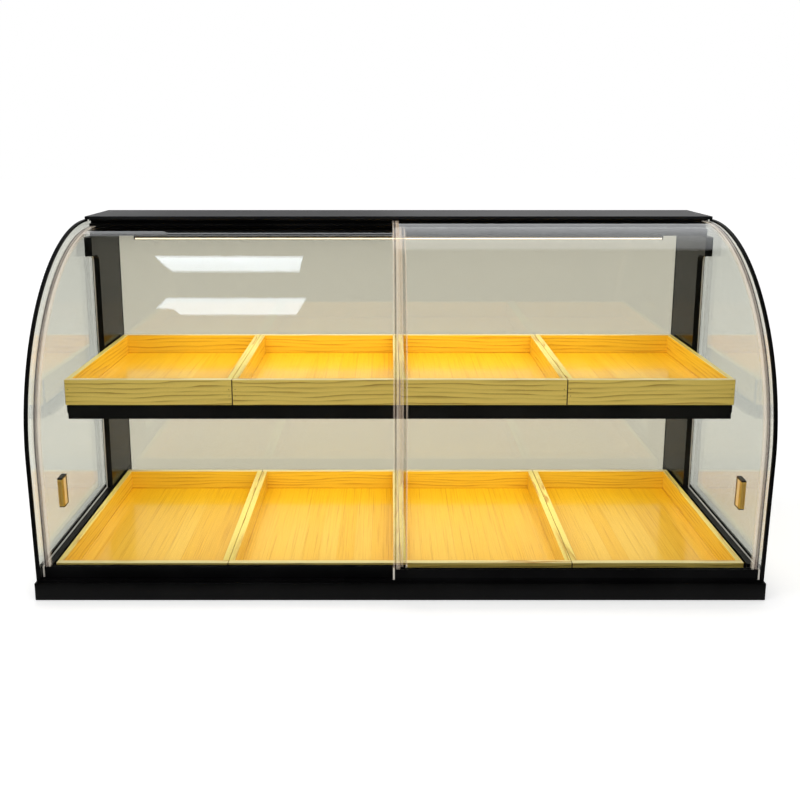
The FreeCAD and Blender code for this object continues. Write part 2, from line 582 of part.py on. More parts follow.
def pull(x, inset):
    """Bevelled finger pull with a fluted recess in its face, standing on the curve of a door."""
    half_width = PULL_WIDTH / 2
    half_height = PULL_HEIGHT / 2
    block = box(-half_width, half_width, -PULL_DEPTH, 0, -half_height, half_height)
    ends = edges_on(block, y=-PULL_DEPTH, z=half_height) + edges_on(block, y=-PULL_DEPTH, z=-half_height)
    block = block.makeChamfer(PULL_END_BEVEL, ends)
    long_edges = edges_on(block, x=-half_width, y=-PULL_DEPTH) + edges_on(block, x=half_width, y=-PULL_DEPTH)
    block = block.makeChamfer(PULL_BEVEL, long_edges)
    recess_half = half_width - PULL_RECESS_MARGIN
    recess_top = half_height - PULL_END_BEVEL - PULL_RECESS_MARGIN
    floor = -PULL_DEPTH + PULL_RECESS_DEPTH
    block = block.cut(box(-recess_half, recess_half, -PULL_DEPTH, floor, -recess_top, recess_top))
    pitch = 2 * recess_half / PULL_FLUTES
    for number in range(PULL_FLUTES):
        middle = (number - (PULL_FLUTES - 1) / 2) * pitch
        flute = box(middle - pitch / 4, middle + pitch / 4, floor, floor + PULL_FLUTE_DEPTH,
                    -recess_top, recess_top)
        block = block.cut(flute)
    seat_y, lean = curve_place(inset, PULL_CENTRE)
    block.rotate(ORIGIN, X_AXIS, lean)
    block.translate(FreeCAD.Vector(x, seat_y, PULL_CENTRE))
    return block


def shelf(holes):
    """Folded pan with its lips turned down, bolted between two bars on the side frames."""
    both = Part.makeCompound([holes, mirrored(holes)])
    pan = box(-SHELF_SIDE, SHELF_SIDE, SHELF_FRONT, SHELF_BACK, SHELF_LOW, SHELF_HEIGHT)
    folds = edges_on(pan, y=SHELF_FRONT, z=SHELF_HEIGHT) + edges_on(pan, y=SHELF_BACK, z=SHELF_HEIGHT)
    pan = pan.makeFillet(SHELF_ROUND, folds)
    under = SHELF_HEIGHT - SHELF_SHEET
    hollow = box(SHELF_SHEET - SHELF_SIDE, SHELF_SIDE - SHELF_SHEET, SHELF_FRONT + SHELF_SHEET,
                 SHELF_BACK - SHELF_SHEET, SHELF_LOW, under)
    inner_folds = (edges_on(hollow, y=SHELF_FRONT + SHELF_SHEET, z=under)
                   + edges_on(hollow, y=SHELF_BACK - SHELF_SHEET, z=under))
    hollow = hollow.makeFillet(max(SHELF_ROUND - SHELF_SHEET, SHELF_SHEET / 4), inner_folds)
    save("shelf_panel", pan.cut(hollow).cut(both))
    front = SHELF_FRONT + ARM_BAR_FRONT_GAP
    bar = box(SHELF_SIDE, FRAME_IN, front, SHELF_BACK - ARM_BAR_REAR_GAP,
              SHELF_LOW, SHELF_LOW + ARM_BAR_HEIGHT)
    bar = bar.makeChamfer(ARM_BAR_NOSE, edges_on(bar, y=front, z=SHELF_LOW))
    save_pair("shelf_arm", bar.cut(holes))


def tray(name, number, place):
    """Open wooden tray: four boards, grooved near their foot to take the floor."""
    front, back, low = place
    left = TRAY_SIDE_GAP - FRAME_IN + number * (TRAY_WIDTH + TRAY_GAP)
    right = left + TRAY_WIDTH
    top = low + TRAY_HEIGHT
    floor_low = low + TRAY_FLOOR_LIFT
    inside = (left + TRAY_BOARD, right - TRAY_BOARD, front + TRAY_BOARD, back - TRAY_BOARD)
    groove_reach = TRAY_TONGUE + TRAY_TONGUE_PLAY

    def spread(reach):
        x0, x1, y0, y1 = inside
        return box(x0 - reach, x1 + reach, y0 - reach, y1 + reach, floor_low, floor_low + TRAY_FLOOR)

    groove = spread(groove_reach)
    boards = [soft_box(left, right, front, inside[2], low, top, TRAY_ROUND),
              soft_box(left, right, inside[3], back, low, top, TRAY_ROUND),
              soft_box(left, inside[0], inside[2], inside[3], low, top, TRAY_ROUND),
              soft_box(inside[1], right, inside[2], inside[3], low, top, TRAY_ROUND)]
    save(name + "_boards", *[board.cut(groove) for board in boards])
    save(name + "_floor", spread(TRAY_TONGUE))


def light_bar(lead_hole):
    """Shallow channel under the guide with a lamp board, a diffuser and two end caps."""
    under = LIGHT_LOW - DIFFUSER_DROP
    channel = box(-CHANNEL_HALF, CHANNEL_HALF, LIGHT_FRONT, LIGHT_BACK, LIGHT_LOW, GUIDE_LOW)
    channel = channel.cut(box(-CHANNEL_HALF, CHANNEL_HALF, LIGHT_FRONT + LIGHT_WALL, LIGHT_BACK - LIGHT_WALL,
                              LIGHT_LOW, BOARD_TOP))
    board = box(-CHANNEL_HALF, CHANNEL_HALF, LIGHT_MIDDLE - BOARD_WIDTH / 2, LIGHT_MIDDLE + BOARD_WIDTH / 2,
                BOARD_TOP - BOARD_THICKNESS, BOARD_TOP)
    cover = box(-CHANNEL_HALF, CHANNEL_HALF, LIGHT_FRONT + LIGHT_WALL, LIGHT_BACK - LIGHT_WALL,
                under, under + DIFFUSER_THICKNESS)
    cap = box(CHANNEL_HALF, LIGHT_HALF, LIGHT_FRONT, LIGHT_BACK, under, GUIDE_LOW)
    save("light_channel", channel.cut(lead_hole))
    save("light_board", board)
    save("light_diffuser", cover)
    save("light_end_caps", cap, mirrored(cap))


def lead_wire():
    """Path of the light's lead: up from the board, one bend, then back to the inlet."""
    foot = FreeCAD.Vector(LEAD_X, LEAD_Y, BOARD_TOP)
    bend_start = FreeCAD.Vector(LEAD_X, LEAD_Y, LEAD_Z - LEAD_BEND)
    bend_end = FreeCAD.Vector(LEAD_X, LEAD_Y + LEAD_BEND, LEAD_Z)
    turn = LEAD_BEND * math.cos(math.radians(45))
    middle = FreeCAD.Vector(LEAD_X, LEAD_Y + LEAD_BEND - turn, LEAD_Z - LEAD_BEND + turn)
    end = FreeCAD.Vector(LEAD_X, INLET_INNER_END, LEAD_Z)
    edges = [Part.LineSegment(foot, bend_start), Part.Arc(bend_start, middle, bend_end),
             Part.LineSegment(bend_end, end)]
    return Part.Wire([edge.toShape() for edge in edges]), foot


def lead_tube(diameter):
    """Round tube along the lead's path."""
    path, foot = lead_wire()
    ring = Part.Wire(Part.makeCircle(diameter / 2, foot, Z_AXIS))
    return path.makePipeShell([ring], True, False)


def supply():
    """Lead from the light board, the cover that holds it under the roof, and the inlet in the rear rail."""
    save("light_lead", lead_tube(LEAD_DIAMETER))
    half = LEAD_COVER_WIDTH / 2
    low = ROOF_UNDER - LEAD_COVER_HEIGHT
    cover = box(LEAD_X - half, LEAD_X + half, GUIDE_BACK, INLET_INNER_END, low, ROOF_UNDER)
    inner = half - LEAD_COVER_WALL
    save("lead_cover", cover.cut(box(LEAD_X - inner, LEAD_X + inner, GUIDE_BACK, INLET_INNER_END,
                                     low + LEAD_COVER_WALL, ROOF_UNDER)))
    mouth = FreeCAD.Vector(LEAD_X, BACK + INLET_FLANGE_THICKNESS, LEAD_Z)
    body = rod(FreeCAD.Vector(LEAD_X, INLET_INNER_END, LEAD_Z), Y_AXIS, BACK - INLET_INNER_END, INLET_BODY)
    flange = rod(FreeCAD.Vector(LEAD_X, BACK, LEAD_Z), Y_AXIS, INLET_FLANGE_THICKNESS, INLET_FLANGE)
    bore = rod(mouth, -Y_AXIS, INLET_BORE_DEPTH, INLET_BORE)
    pin = rod(mouth - Y_AXIS * INLET_BORE_DEPTH, Y_AXIS, INLET_BORE_DEPTH - INLET_FLANGE_THICKNESS, INLET_PIN)
    socket = body.fuse(flange).cut(bore).fuse(pin).removeSplitter()
    nut_start = FreeCAD.Vector(LEAD_X, INLET_INNER_END, LEAD_Z)
    nut = rod(nut_start, Y_AXIS, INLET_NUT_THICKNESS, INLET_FLANGE)
    nut = nut.cut(rod(nut_start, Y_AXIS, INLET_NUT_THICKNESS, INLET_BODY + 2 * SCREW_PLAY))
    save("power_inlet", socket, nut)
    return rod(nut_start, Y_AXIS, BACK - INLET_INNER_END, INLET_BODY + 2 * SCREW_PLAY)


def build():
    """Build and write every node."""
    os.makedirs("parts", exist_ok=True)
    deck_made, deck_holes = deck_screws()
    roof_made, roof_holes = roof_screws()
    track_made, track_holes = track_screws()
    arm_made, arm_holes = arm_screws()
    lead_hole = lead_tube(LEAD_DIAMETER + 2 * LEAD_PLAY)
    frame_holes = Part.makeCompound([roof_holes, arm_holes, mirrored(arm_holes)])
    plinth(Part.makeCompound([deck_holes, track_holes]))
    bottom_track(track_holes)
    glass_sides()
    gaskets()
    side_frames(frame_holes)
    inlet_hole = supply()
    rear_wall(inlet_hole)
    roof(roof_holes)
    top_guide(lead_hole)
    door("right_door", 1, OUTER_DOOR_INSET)
    door("left_door", -1, INNER_DOOR_INSET)
    shelf(arm_holes)
    light_bar(lead_hole)
    save("track_screws", *track_made)
    save("assembly_screws", *deck_made, *roof_made, *arm_made, *[mirrored(made) for made in arm_made])
    for number in range(TRAYS_PER_ROW):
        tray("lower_tray_" + str(number + 1), number, LOWER_TRAY)
        tray("upper_tray_" + str(number + 1), number, UPPER_TRAY)


build()
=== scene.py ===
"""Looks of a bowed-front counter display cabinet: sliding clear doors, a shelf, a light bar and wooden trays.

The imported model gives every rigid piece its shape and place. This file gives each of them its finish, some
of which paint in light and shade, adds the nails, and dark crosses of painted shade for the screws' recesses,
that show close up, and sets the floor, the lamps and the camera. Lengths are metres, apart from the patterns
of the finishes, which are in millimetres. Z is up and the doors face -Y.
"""

import logging
import math
from dataclasses import dataclass
from enum import Enum
from typing import Any, Optional, Union

import bmesh
import bpy
from mathutils import Matrix, Vector


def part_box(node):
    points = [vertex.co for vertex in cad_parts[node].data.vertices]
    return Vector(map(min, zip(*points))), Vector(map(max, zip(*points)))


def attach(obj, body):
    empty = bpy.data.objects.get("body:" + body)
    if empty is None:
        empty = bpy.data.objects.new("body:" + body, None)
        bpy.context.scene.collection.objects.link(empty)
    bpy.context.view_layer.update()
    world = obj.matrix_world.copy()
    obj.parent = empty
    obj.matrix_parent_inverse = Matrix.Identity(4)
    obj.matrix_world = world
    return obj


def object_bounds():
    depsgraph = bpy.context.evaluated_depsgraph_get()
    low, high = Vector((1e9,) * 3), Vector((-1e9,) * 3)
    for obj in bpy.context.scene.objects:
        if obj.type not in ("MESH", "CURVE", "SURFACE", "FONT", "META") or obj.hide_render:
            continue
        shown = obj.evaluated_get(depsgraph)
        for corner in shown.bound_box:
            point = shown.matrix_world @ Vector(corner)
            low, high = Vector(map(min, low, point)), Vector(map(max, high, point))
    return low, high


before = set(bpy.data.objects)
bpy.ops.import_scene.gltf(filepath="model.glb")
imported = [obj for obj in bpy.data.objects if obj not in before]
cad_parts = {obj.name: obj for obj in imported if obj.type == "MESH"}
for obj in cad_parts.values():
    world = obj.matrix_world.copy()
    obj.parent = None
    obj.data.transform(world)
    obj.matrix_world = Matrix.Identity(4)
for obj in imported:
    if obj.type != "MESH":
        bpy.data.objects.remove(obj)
CAD_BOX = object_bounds()
MM = 0.001
CABINET = "cabinet"
CROSS_ARM = Vector((3.4, 0.8, 0.06)) * MM
MERGE = 0.01 * MM

Triple = tuple[float, float, float]
Colour = Triple
Plan = tuple[tuple[float, float], ...]
Lines = tuple[tuple[float, Colour, float], ...]
Socket = bpy.types.NodeSocket
Term = Union["Field", float]

log = logging.getLogger("cabinet")


class Side(Enum):
    """The two hands of the cabinet, seen from the front."""

    LEFT = "left"
    RIGHT = "right"


class Row(Enum):
    """The two rows of trays."""

    LOWER = "lower"
    UPPER = "upper"


class Field:
    """A value socket that works in Python expressions, where each operator adds one Math node."""

    def __init__(self, graph: "Graph", socket: Socket) -> None:
        """Wrap a socket of a graph."""
        self.graph = graph
        self.socket = socket

    def __add__(self, other: Term) -> "Field":
        """Sum."""
        return self.graph.math("ADD", self, other)

    def __radd__(self, other: Term) -> "Field":
        """Sum with a number on the left."""
        return self.graph.math("ADD", other, self)

    def __sub__(self, other: Term) -> "Field":
        """Difference."""
        return self.graph.math("SUBTRACT", self, other)

    def __rsub__(self, other: Term) -> "Field":
        """Difference from a number on the left."""
        return self.graph.math("SUBTRACT", other, self)

    def __mul__(self, other: Term) -> "Field":
        """Product."""
        return self.graph.math("MULTIPLY", self, other)

    def __rmul__(self, other: Term) -> "Field":
        """Product with a number on the left."""
        return self.graph.math("MULTIPLY", other, self)

    def __truediv__(self, other: Term) -> "Field":
        """Quotient."""
        return self.graph.math("DIVIDE", self, other)

    def __pow__(self, other: Term) -> "Field":
        """Power."""
        return self.graph.math("POWER", self, other)

    def __gt__(self, other: Term) -> "Field":
        """1 where this is greater, else 0."""
        return self.graph.math("GREATER_THAN", self, other)

    def __lt__(self, other: Term) -> "Field":
        """1 where this is less, else 0."""
        return self.graph.math("LESS_THAN", self, other)

    def __abs__(self) -> "Field":
        """Distance from zero."""
        return self.graph.math("ABSOLUTE", self)

    def floor(self) -> "Field":
        """The whole number below."""
        return self.graph.math("FLOOR", self)

    def fraction(self) -> "Field":
        """What is left above the whole number below."""
        return self.graph.math("FRACT", self)

    def least(self, other: Term) -> "Field":
        """The smaller of the two."""
        return self.graph.math("MINIMUM", self, other)

    def rise(self, low: float, high: float) -> "Field":
        """0 below low, 1 above high and a soft step between them."""
        made = self.graph.node("ShaderNodeMapRange", {"interpolation_type": "SMOOTHSTEP"},
                               {"Value": self, "From Min": low, "From Max": high})
        return Field(self.graph, made.outputs["Result"])


class Graph:
    """The node tree of one material or of the world, with one way to add each kind of thing to it."""

    def __init__(self, tree: bpy.types.NodeTree) -> None:
        """Take over a node tree and empty it."""
        self.tree = tree
        tree.nodes.clear()

    def node(self, kind: str, settings: Optional[dict[str, Any]] = None,
             inputs: Optional[dict[Union[str, int], Any]] = None) -> bpy.types.Node:
        """Add any node.

        Args:
            kind: The node's type.
            settings: What is set on the node first. A ramp's stops are places, colours and covers.
            inputs: Values, sockets or fields for its inputs, by name or number.

        Returns:
            The new node.
        """
        made = self.tree.nodes.new(kind)
        for name, value in (settings or {}).items():
            if name == "stops":
                self._set_stops(made.color_ramp.elements, value)
            else:
                setattr(made, name, value)
        for key, value in (inputs or {}).items():
            self._feed(made.inputs[key], value)
        return made

    def _set_stops(self, elements: Any, stops: Lines) -> None:
        """Give a colour ramp its stops."""
        while len(elements) < len(stops):
            elements.new(1.0)
        for element, (place, colour, cover) in zip(elements, stops):
            element.position = place
            element.color = (*colour, cover)

    def _feed(self, socket: Socket, value: Any) -> None:
        """Link a field or a socket to an input, or set it to a number or a colour."""
        if isinstance(value, Field):
            value = value.socket
        if isinstance(value, Socket):
            self.tree.links.new(value, socket)
        elif isinstance(value, tuple) and socket.type == "RGBA":
            socket.default_value = (*value, 1.0)
        else:
            socket.default_value = value

    def math(self, operation: str, *terms: Term) -> Field:
        """Add a Math node on one or two terms."""
        made = self.node("ShaderNodeMath", {"operation": operation}, dict(enumerate(terms)))
        return Field(self, made.outputs[0])

    def millimetres(self) -> tuple[Field, Field, Field]:
        """The piece's own coordinates in millimetres, which move with it."""
        coordinates = self.node("ShaderNodeTexCoord").outputs["Object"]
        scaled = self.node("ShaderNodeVectorMath", {"operation": "SCALE"}, {0: coordinates, "Scale": 1 / MM})
        parts = self.node("ShaderNodeSeparateXYZ", inputs={0: scaled.outputs[0]})
        return tuple(Field(self, output) for output in parts.outputs)

    def noise(self, place: tuple[Term, Term, Term], detail: float = 2.0) -> Field:
        """Cloudy noise from 0 to 1, with clouds about one unit of place across.

        Args:
            place: Three coordinates, each divided by the clouds' size along it.
            detail: How many finer layers the noise has.

        Returns:
            The noise, evenly spread about 0.5.
        """
        vector = self.node("ShaderNodeCombineXYZ", inputs=dict(enumerate(place))).outputs[0]
        made = self.node("ShaderNodeTexNoise", inputs={"Vector": vector, "Scale": 1.0, "Detail": detail})
        return Field(self, made.outputs[0])

    def chance(self, seed: Field) -> Field:
        """A steady random number from 0 to 1 for each value of a seed."""
        made = self.node("ShaderNodeTexWhiteNoise", {"noise_dimensions": "1D"}, {"W": seed})
        return Field(self, made.outputs["Value"])

    def facing(self) -> Field:
        """0 where the surface is seen head on and 1 where it is seen along itself, as gloss needs it."""
        made = self.node("ShaderNodeLayerWeight", inputs={"Blend": 0.5})
        return Field(self, made.outputs["Facing"])

    def mix(self, first: Any, second: Any, share: Term) -> Socket:
        """Blend two colours.

        Args:
            first: The colour or socket shown at share 0.
            second: The colour or socket blended in.
            share: How much of the second shows.

        Returns:
            The blended colour.
        """
        made = self.node("ShaderNodeMix", {"data_type": "RGBA"}, {0: share, 6: first, 7: second})
        return made.outputs[2]

    def ramp(self, share: Field, stops: Lines) -> tuple[Socket, Field]:
        """Colours and covers along a field, by stops."""
        made = self.node("ShaderNodeValToRGB", {"stops": stops}, {0: share})
        return made.outputs["Color"], Field(self, made.outputs["Alpha"])

    def bump(self, height: Field, depth: float) -> Socket:
        """A normal from a height of 0 to 1 that is depth metres tall."""
        made = self.node("ShaderNodeBump", inputs={"Strength": 1.0, "Distance": depth, "Height": height})
        return made.outputs["Normal"]

    def principled(self, **inputs: Any) -> Socket:
        """A Principled shader, with underscores for the spaces in its inputs' names."""
        named = {name.replace("_", " "): value for name, value in inputs.items()}
        return self.node("ShaderNodeBsdfPrincipled", inputs=named).outputs[0]

    def between(self, first: Socket, second: Socket, share: Term) -> Socket:
        """Mix two shaders."""
        return self.node("ShaderNodeMixShader", inputs={0: share, 1: first, 2: second}).outputs[0]

    def show(self, surface: Socket, kind: str = "ShaderNodeOutputMaterial") -> None:
        """Make a shader the tree's result."""
        self.node(kind, inputs={"Surface": surface})


def new_material(name: str) -> tuple[bpy.types.Material, Graph]:
    """Make an empty material.

    Args:
        name: The material's name.

    Returns:
        The material and the graph that fills it.
    """
    material = bpy.data.materials.new(name)
    material.use_nodes = True
    return material, Graph(material.node_tree)


@dataclass(frozen=True)
class Coat:
    """Paint, lacquer, anodising, rubber or moulded plastic: an even colour with a fine skin.

    Patches are soft changes of tone and gloss, as from handling, and grain is the skin's own texture.
    """

    name: str
    colour: Colour
    patch_colour: Colour
    roughness: float
    specular: float = 0.3
    patch_size: float = 90.0
    grain_size: float = 0.8
    grain_height: float = 0.02 * MM
    draw: float = 1.0
    metallic: float = 0.0

    def material(self) -> bpy.types.Material:
        """Make the finish. Draw stretches the grain along X, as on an extrusion."""
        material, graph = new_material(self.name)
        x, y, z = graph.millimetres()
        patch = graph.noise((x / self.patch_size, y / self.patch_size, z / self.patch_size), 3.0)
        grain = graph.noise((x / (self.grain_size * self.draw), y / self.grain_size, z / self.grain_size))
        rub = patch.rise(0.35, 0.75)
        graph.show(graph.principled(
            Base_Color=graph.mix(self.colour, self.patch_colour, rub),
            Roughness=self.roughness + 0.10 * (patch - 0.5) + 0.06 * (grain - 0.5),
            Metallic=self.metallic,
            Specular_IOR_Level=self.specular,
            Normal=graph.bump(grain, self.grain_height)))
        return material


@dataclass(frozen=True)
class GlossPanel:
    """Gloss dark panel with faint upright streaks of painted reflection in its colour."""

    name: str
    colour: Colour
    painted_reflection_streak: Colour
    roughness: float
    specular: float

    def material(self) -> bpy.types.Material:
        """Make the finish."""
        material, graph = new_material(self.name)
        x, y, z = graph.millimetres()
        # Painted reflection: faint upright streaks in the colour.
        streak = graph.noise((x / 3.0, y / 3.0, z / 400.0), 3.0)
        haze = graph.noise((x / 70.0, y / 70.0, z / 120.0), 3.0)
        graph.show(graph.principled(
            Base_Color=graph.mix(self.colour, self.painted_reflection_streak, streak.rise(0.4, 0.8)),
            Roughness=self.roughness + 0.08 * haze,
            Specular_IOR_Level=self.specular))
        return material


@dataclass(frozen=True)
class ClearSheet:
    """Clear pane that tints what is behind it and mirrors more towards its edge-on view."""

    name: str
    passes: Colour
    mirror: float
    smear: float

    def material(self) -> bpy.types.Material:
        """Make the finish, with wiping marks in its gloss."""
        material, graph = new_material(self.name)
        x, y, z = graph.millimetres()
        wipe = graph.noise((x / 160.0, y / 60.0, z / 60.0), 3.0).rise(0.45, 0.8)
        sheen = self.mirror + (1.0 - self.mirror) * graph.facing() ** 5.0
        clear = graph.node("ShaderNodeBsdfTransparent", inputs={"Color": self.passes}).outputs[0]
        gloss = graph.node("ShaderNodeBsdfGlossy", {"distribution": "GGX"},
                           {"Color": (0.96, 0.98, 1.0), "Roughness": 0.012 + self.smear * wipe}).outputs[0]
        graph.show(graph.between(clear, gloss, sheen + 0.2 * self.smear * wipe))
        return material


@dataclass(frozen=True)
class EdgeProfile:
    """Clear extruded strips on the two ends of a door, with painted lines along them: painted highlights and
    painted shade that stand in for how their folded walls catch and bend the light.
    """

    name: str
    low: float
    high: float
    reach: float
    low_lines: Lines
    high_lines: Lines
    painted_glow: float = 0.22

    def material(self) -> bpy.types.Material:
        """Make the finish. Lines follow the distance from the door's nearer end, and have a painted glow,
        though the strips are no lamp.
        """
        material, graph = new_material(self.name)
        x, y, z = graph.millimetres()
        waver = graph.noise((x / 2.0, y / 90.0, z / 90.0)) - 0.5
        near_low = (x - self.low) < (self.high - x)
        low_colour, low_cover = graph.ramp((x - self.low) / self.reach + 0.04 * waver, self.low_lines)
        high_colour, high_cover = graph.ramp((self.high - x) / self.reach + 0.04 * waver, self.high_lines)
        cover = high_cover + (low_cover - high_cover) * near_low
        colour = graph.mix(high_colour, low_colour, near_low)
        # The lines are painted highlights and painted shade, and the emission is a painted glow.
        body = graph.principled(
            Base_Color=colour,
            Roughness=0.14 + 0.1 * waver,
            Specular_IOR_Level=0.5,
            Coat_Weight=0.5,
            Coat_Roughness=0.03,
            Emission_Color=colour,
            Emission_Strength=self.painted_glow)
        clear = graph.node("ShaderNodeBsdfTransparent", inputs={"Color": (0.995, 0.99, 0.985)}).outputs[0]
        graph.show(graph.between(clear, body, cover + 0.2 * graph.facing() ** 3.0))
        return material


@dataclass(frozen=True)
class DrawnMetal:
    """Bare metal with lines drawn along one axis."""

    name: str
    colour: Colour
    worn_colour: Colour
    roughness: float
    stretch: Triple

    def material(self) -> bpy.types.Material:
        """Make the finish. Stretch gives the lines' size along X, Y and Z in millimetres."""
        material, graph = new_material(self.name)
        x, y, z = graph.millimetres()
        along_x, along_y, along_z = self.stretch
        lines = graph.noise((x / along_x, y / along_y, z / along_z), 3.0)
        graph.show(graph.principled(
            Base_Color=graph.mix(self.colour, self.worn_colour, lines.rise(0.4, 0.75)),
            Metallic=1.0,
            Roughness=self.roughness + 0.16 * (lines - 0.5),
            Normal=graph.bump(lines, 0.006 * MM)))
        return material


@dataclass(frozen=True)
class BrassPull:
    """Polished brass block with a dull fluted face, a painted highlight on its sides, painted shade towards
    the door and painted dark reflections at its ends.
    """

    name: str
    middle: Triple
    half_height: float
    half_face: float
    face_depth: float
    lean: float
    # Painted light: the first two colours are a painted highlight, the shade colour is painted shade towards
    # the door, and the last is a painted dark reflection at the ends.
    painted_highlight: Colour = (0.99, 0.82, 0.48)
    painted_highlight_lined: Colour = (0.88, 0.66, 0.30)
    golden: Colour = (0.68, 0.44, 0.09)
    golden_worn: Colour = (0.46, 0.27, 0.04)
    shade: Colour = (0.10, 0.06, 0.02)
    end: Colour = (0.012, 0.008, 0.005)

    def material(self) -> bpy.types.Material:
        """Make the finish. The middle is the block's centre in millimetres, and lean is the door's."""
        material, graph = new_material(self.name)
        x, y, z = graph.millimetres()
        right, back, up = (axis - place for axis, place in zip((x, y, z), self.middle))
        depth = back * math.cos(self.lean) + up * math.sin(self.lean)
        lines = graph.noise((x / 0.25, y / 6.0, z / 18.0), 3.0)
        face = (abs(right) < self.half_face) * (depth < self.face_depth)
        # Painted dark reflection at the two ends, painted highlight on the sides near the face and painted
        # shade on the sides towards the door.
        painted_dark_end = abs(up).rise(self.half_height - 3.4, self.half_height - 2.2)
        painted_highlight = graph.mix(self.painted_highlight, self.painted_highlight_lined, lines.rise(0.35, 0.75))
        golden = graph.mix(self.golden, self.golden_worn, lines.rise(0.35, 0.65))
        side = graph.mix(golden, painted_highlight, depth.rise(-5.0, -2.0))
        shaded = graph.mix(side, self.shade, depth.rise(4.0, 8.5))
        faced = graph.mix(shaded, golden, face)
        graph.show(graph.principled(
            Base_Color=graph.mix(faced, self.end, painted_dark_end),
            Metallic=0.2,
            Roughness=0.26 + 0.16 * face + 0.10 * lines,
            Normal=graph.bump(lines, 0.004 * MM)))
        return material


@dataclass(frozen=True)
class OpalLight:
    """Opal strip lit from behind by a row of small lamps, with a dim lip along its front."""

    name: str
    colour: Colour
    gap_colour: Colour
    dim_colour: Colour
    strength: float
    lamp_pitch: float
    front: float
    low: float
    lip: float

    def material(self) -> bpy.types.Material:
        """Make the finish, a little brighter in front of each lamp."""
        material, graph = new_material(self.name)
        x, y, z = graph.millimetres()
        from_lamp = abs((x / self.lamp_pitch).fraction() - 0.5)
        glow = graph.mix(self.colour, self.gap_colour, from_lamp.rise(0.1, 0.5))
        dim = (y < self.front + 0.3) * (1 - z.rise(self.low + self.lip - 0.3, self.low + self.lip + 0.3))
        graph.show(graph.principled(
            Base_Color=(0.9, 0.88, 0.82),
            Roughness=0.4,
            Emission_Color=graph.mix(glow, self.dim_colour, dim),
            Emission_Strength=self.strength))
        return material


@dataclass(frozen=True)
class TrayPlan:
    """Where one row of trays lies, in millimetres, so that each board's grain follows its length."""

    left: float
    pitch: float
    width: float
    front: float
    back: float
    top: float
    floor: float
    board: float

    def tray_and_across(self, x: Field) -> tuple[Field, Field]:
        """Number of the tray at x, and the distance from that tray's left side."""
        tray = ((x - self.left) / self.pitch).floor()
        return tray, x - self.left - tray * self.pitch


@dataclass(frozen=True)
class PineBoards:
    """Lacquered softwood boards with long wavy year lines, a painted highlight on the rim, painted shade
    outside, in the seams and in the creases, and painted warm light inside the tray.
    """

    name: str
    plan: TrayPlan
    painted_shade_outer: Colour
    painted_shade_outer_late: Colour
    painted_warm_inner: Colour
    painted_warm_inner_late: Colour
    painted_lit_rim: Colour
    painted_lit_side_rim: Colour
    painted_seam_shade: Colour
    ring: float = 7.5
    rise_up: float = 0.92
    rise_through: float = 0.45
    wave_depth: float = 26.0
    ripple_depth: float = 1.8
    slack: float = 0.5

    def material(self) -> bpy.types.Material:
        """Make the finish. Front and back boards run along X, and the two side boards along Y."""
        plan = self.plan
        material, graph = new_material(self.name)
        x, y, z = graph.millimetres()
        tray, across = plan.tray_and_across(x)
        beside = (y > plan.front + plan.board + 0.1) * (y < plan.back - plan.board - 0.1)
        second = (y > (plan.front + plan.back) / 2) * (1 - beside) + (across > plan.width / 2) * beside
        luck = graph.chance(tray * 4.0 + beside * 2.0 + second + 0.5)
        along = x + (y - x) * beside + 900.0 * luck
        through = y + (x - y) * beside
        wave = graph.noise((along / 260.0, z / 34.0, through / 34.0), 2.0)
        ripple = graph.noise((along / 38.0, z / 9.0, through / 9.0), 2.0)
        fibre = graph.noise((along / 26.0, z / 0.5, through / 0.5), 3.0)
        bend = self.wave_depth * (wave - 0.5) + self.ripple_depth * (ripple - 0.5)
        height = z * self.rise_up + through * self.rise_through + bend + 70.0 * luck
        year = (height / self.ring).fraction()
        fade = graph.noise((along / 110.0, z / 8.0, through / 8.0), 1.0).rise(0.38, 0.62)
        line = year ** 3.6 * (1 - year.rise(0.93, 1.0)) * (0.3 + 0.8 * fade)
        wall = plan.board - self.slack
        in_x = (across > wall) * (across < plan.width - wall)
        in_y = (y > plan.front + wall) * (y < plan.back - wall)
        inside = in_x * in_y
        # Lit and shaded copies of one pine: a painted highlight on the rim, painted shade on the outer faces
        # and painted warm light from the light bar on the inner faces.
        painted_lit_rim = z.rise(plan.top - 0.9, plan.top - 0.3)
        painted_lit_rim_tone = graph.mix(self.painted_lit_rim, self.painted_lit_side_rim, beside)
        early = graph.mix(graph.mix(self.painted_shade_outer, self.painted_warm_inner, inside), painted_lit_rim_tone, painted_lit_rim)
        late = graph.mix(self.painted_shade_outer_late, self.painted_warm_inner_late, (inside + painted_lit_rim).least(1.0))
        # Painted shade in the crease where the inner faces meet the floor.
        foot = inside * (1 - (z - plan.floor).rise(0.2, 1.5))
        board = graph.mix(early, late, line + 0.22 * (fibre - 0.35) + 0.8 * foot)
        # Painted shade in the seam between neighbouring trays, at the ends of the front and back boards.
        from_end = across.least(plan.width - across)
        end = (1 - from_end.rise(0.3, 0.9)) * (1 - painted_lit_rim) * (1 - beside)
        graph.show(graph.principled(
            Base_Color=graph.mix(board, self.painted_seam_shade, end),
            Roughness=0.36 + 0.16 * (fibre - 0.5) + 0.08 * line,
            Specular_IOR_Level=0.2,
            Coat_Weight=0.8,
            Coat_Roughness=0.12,
            Normal=graph.bump(fibre - 0.5 * line, 0.03 * MM)))
        return material


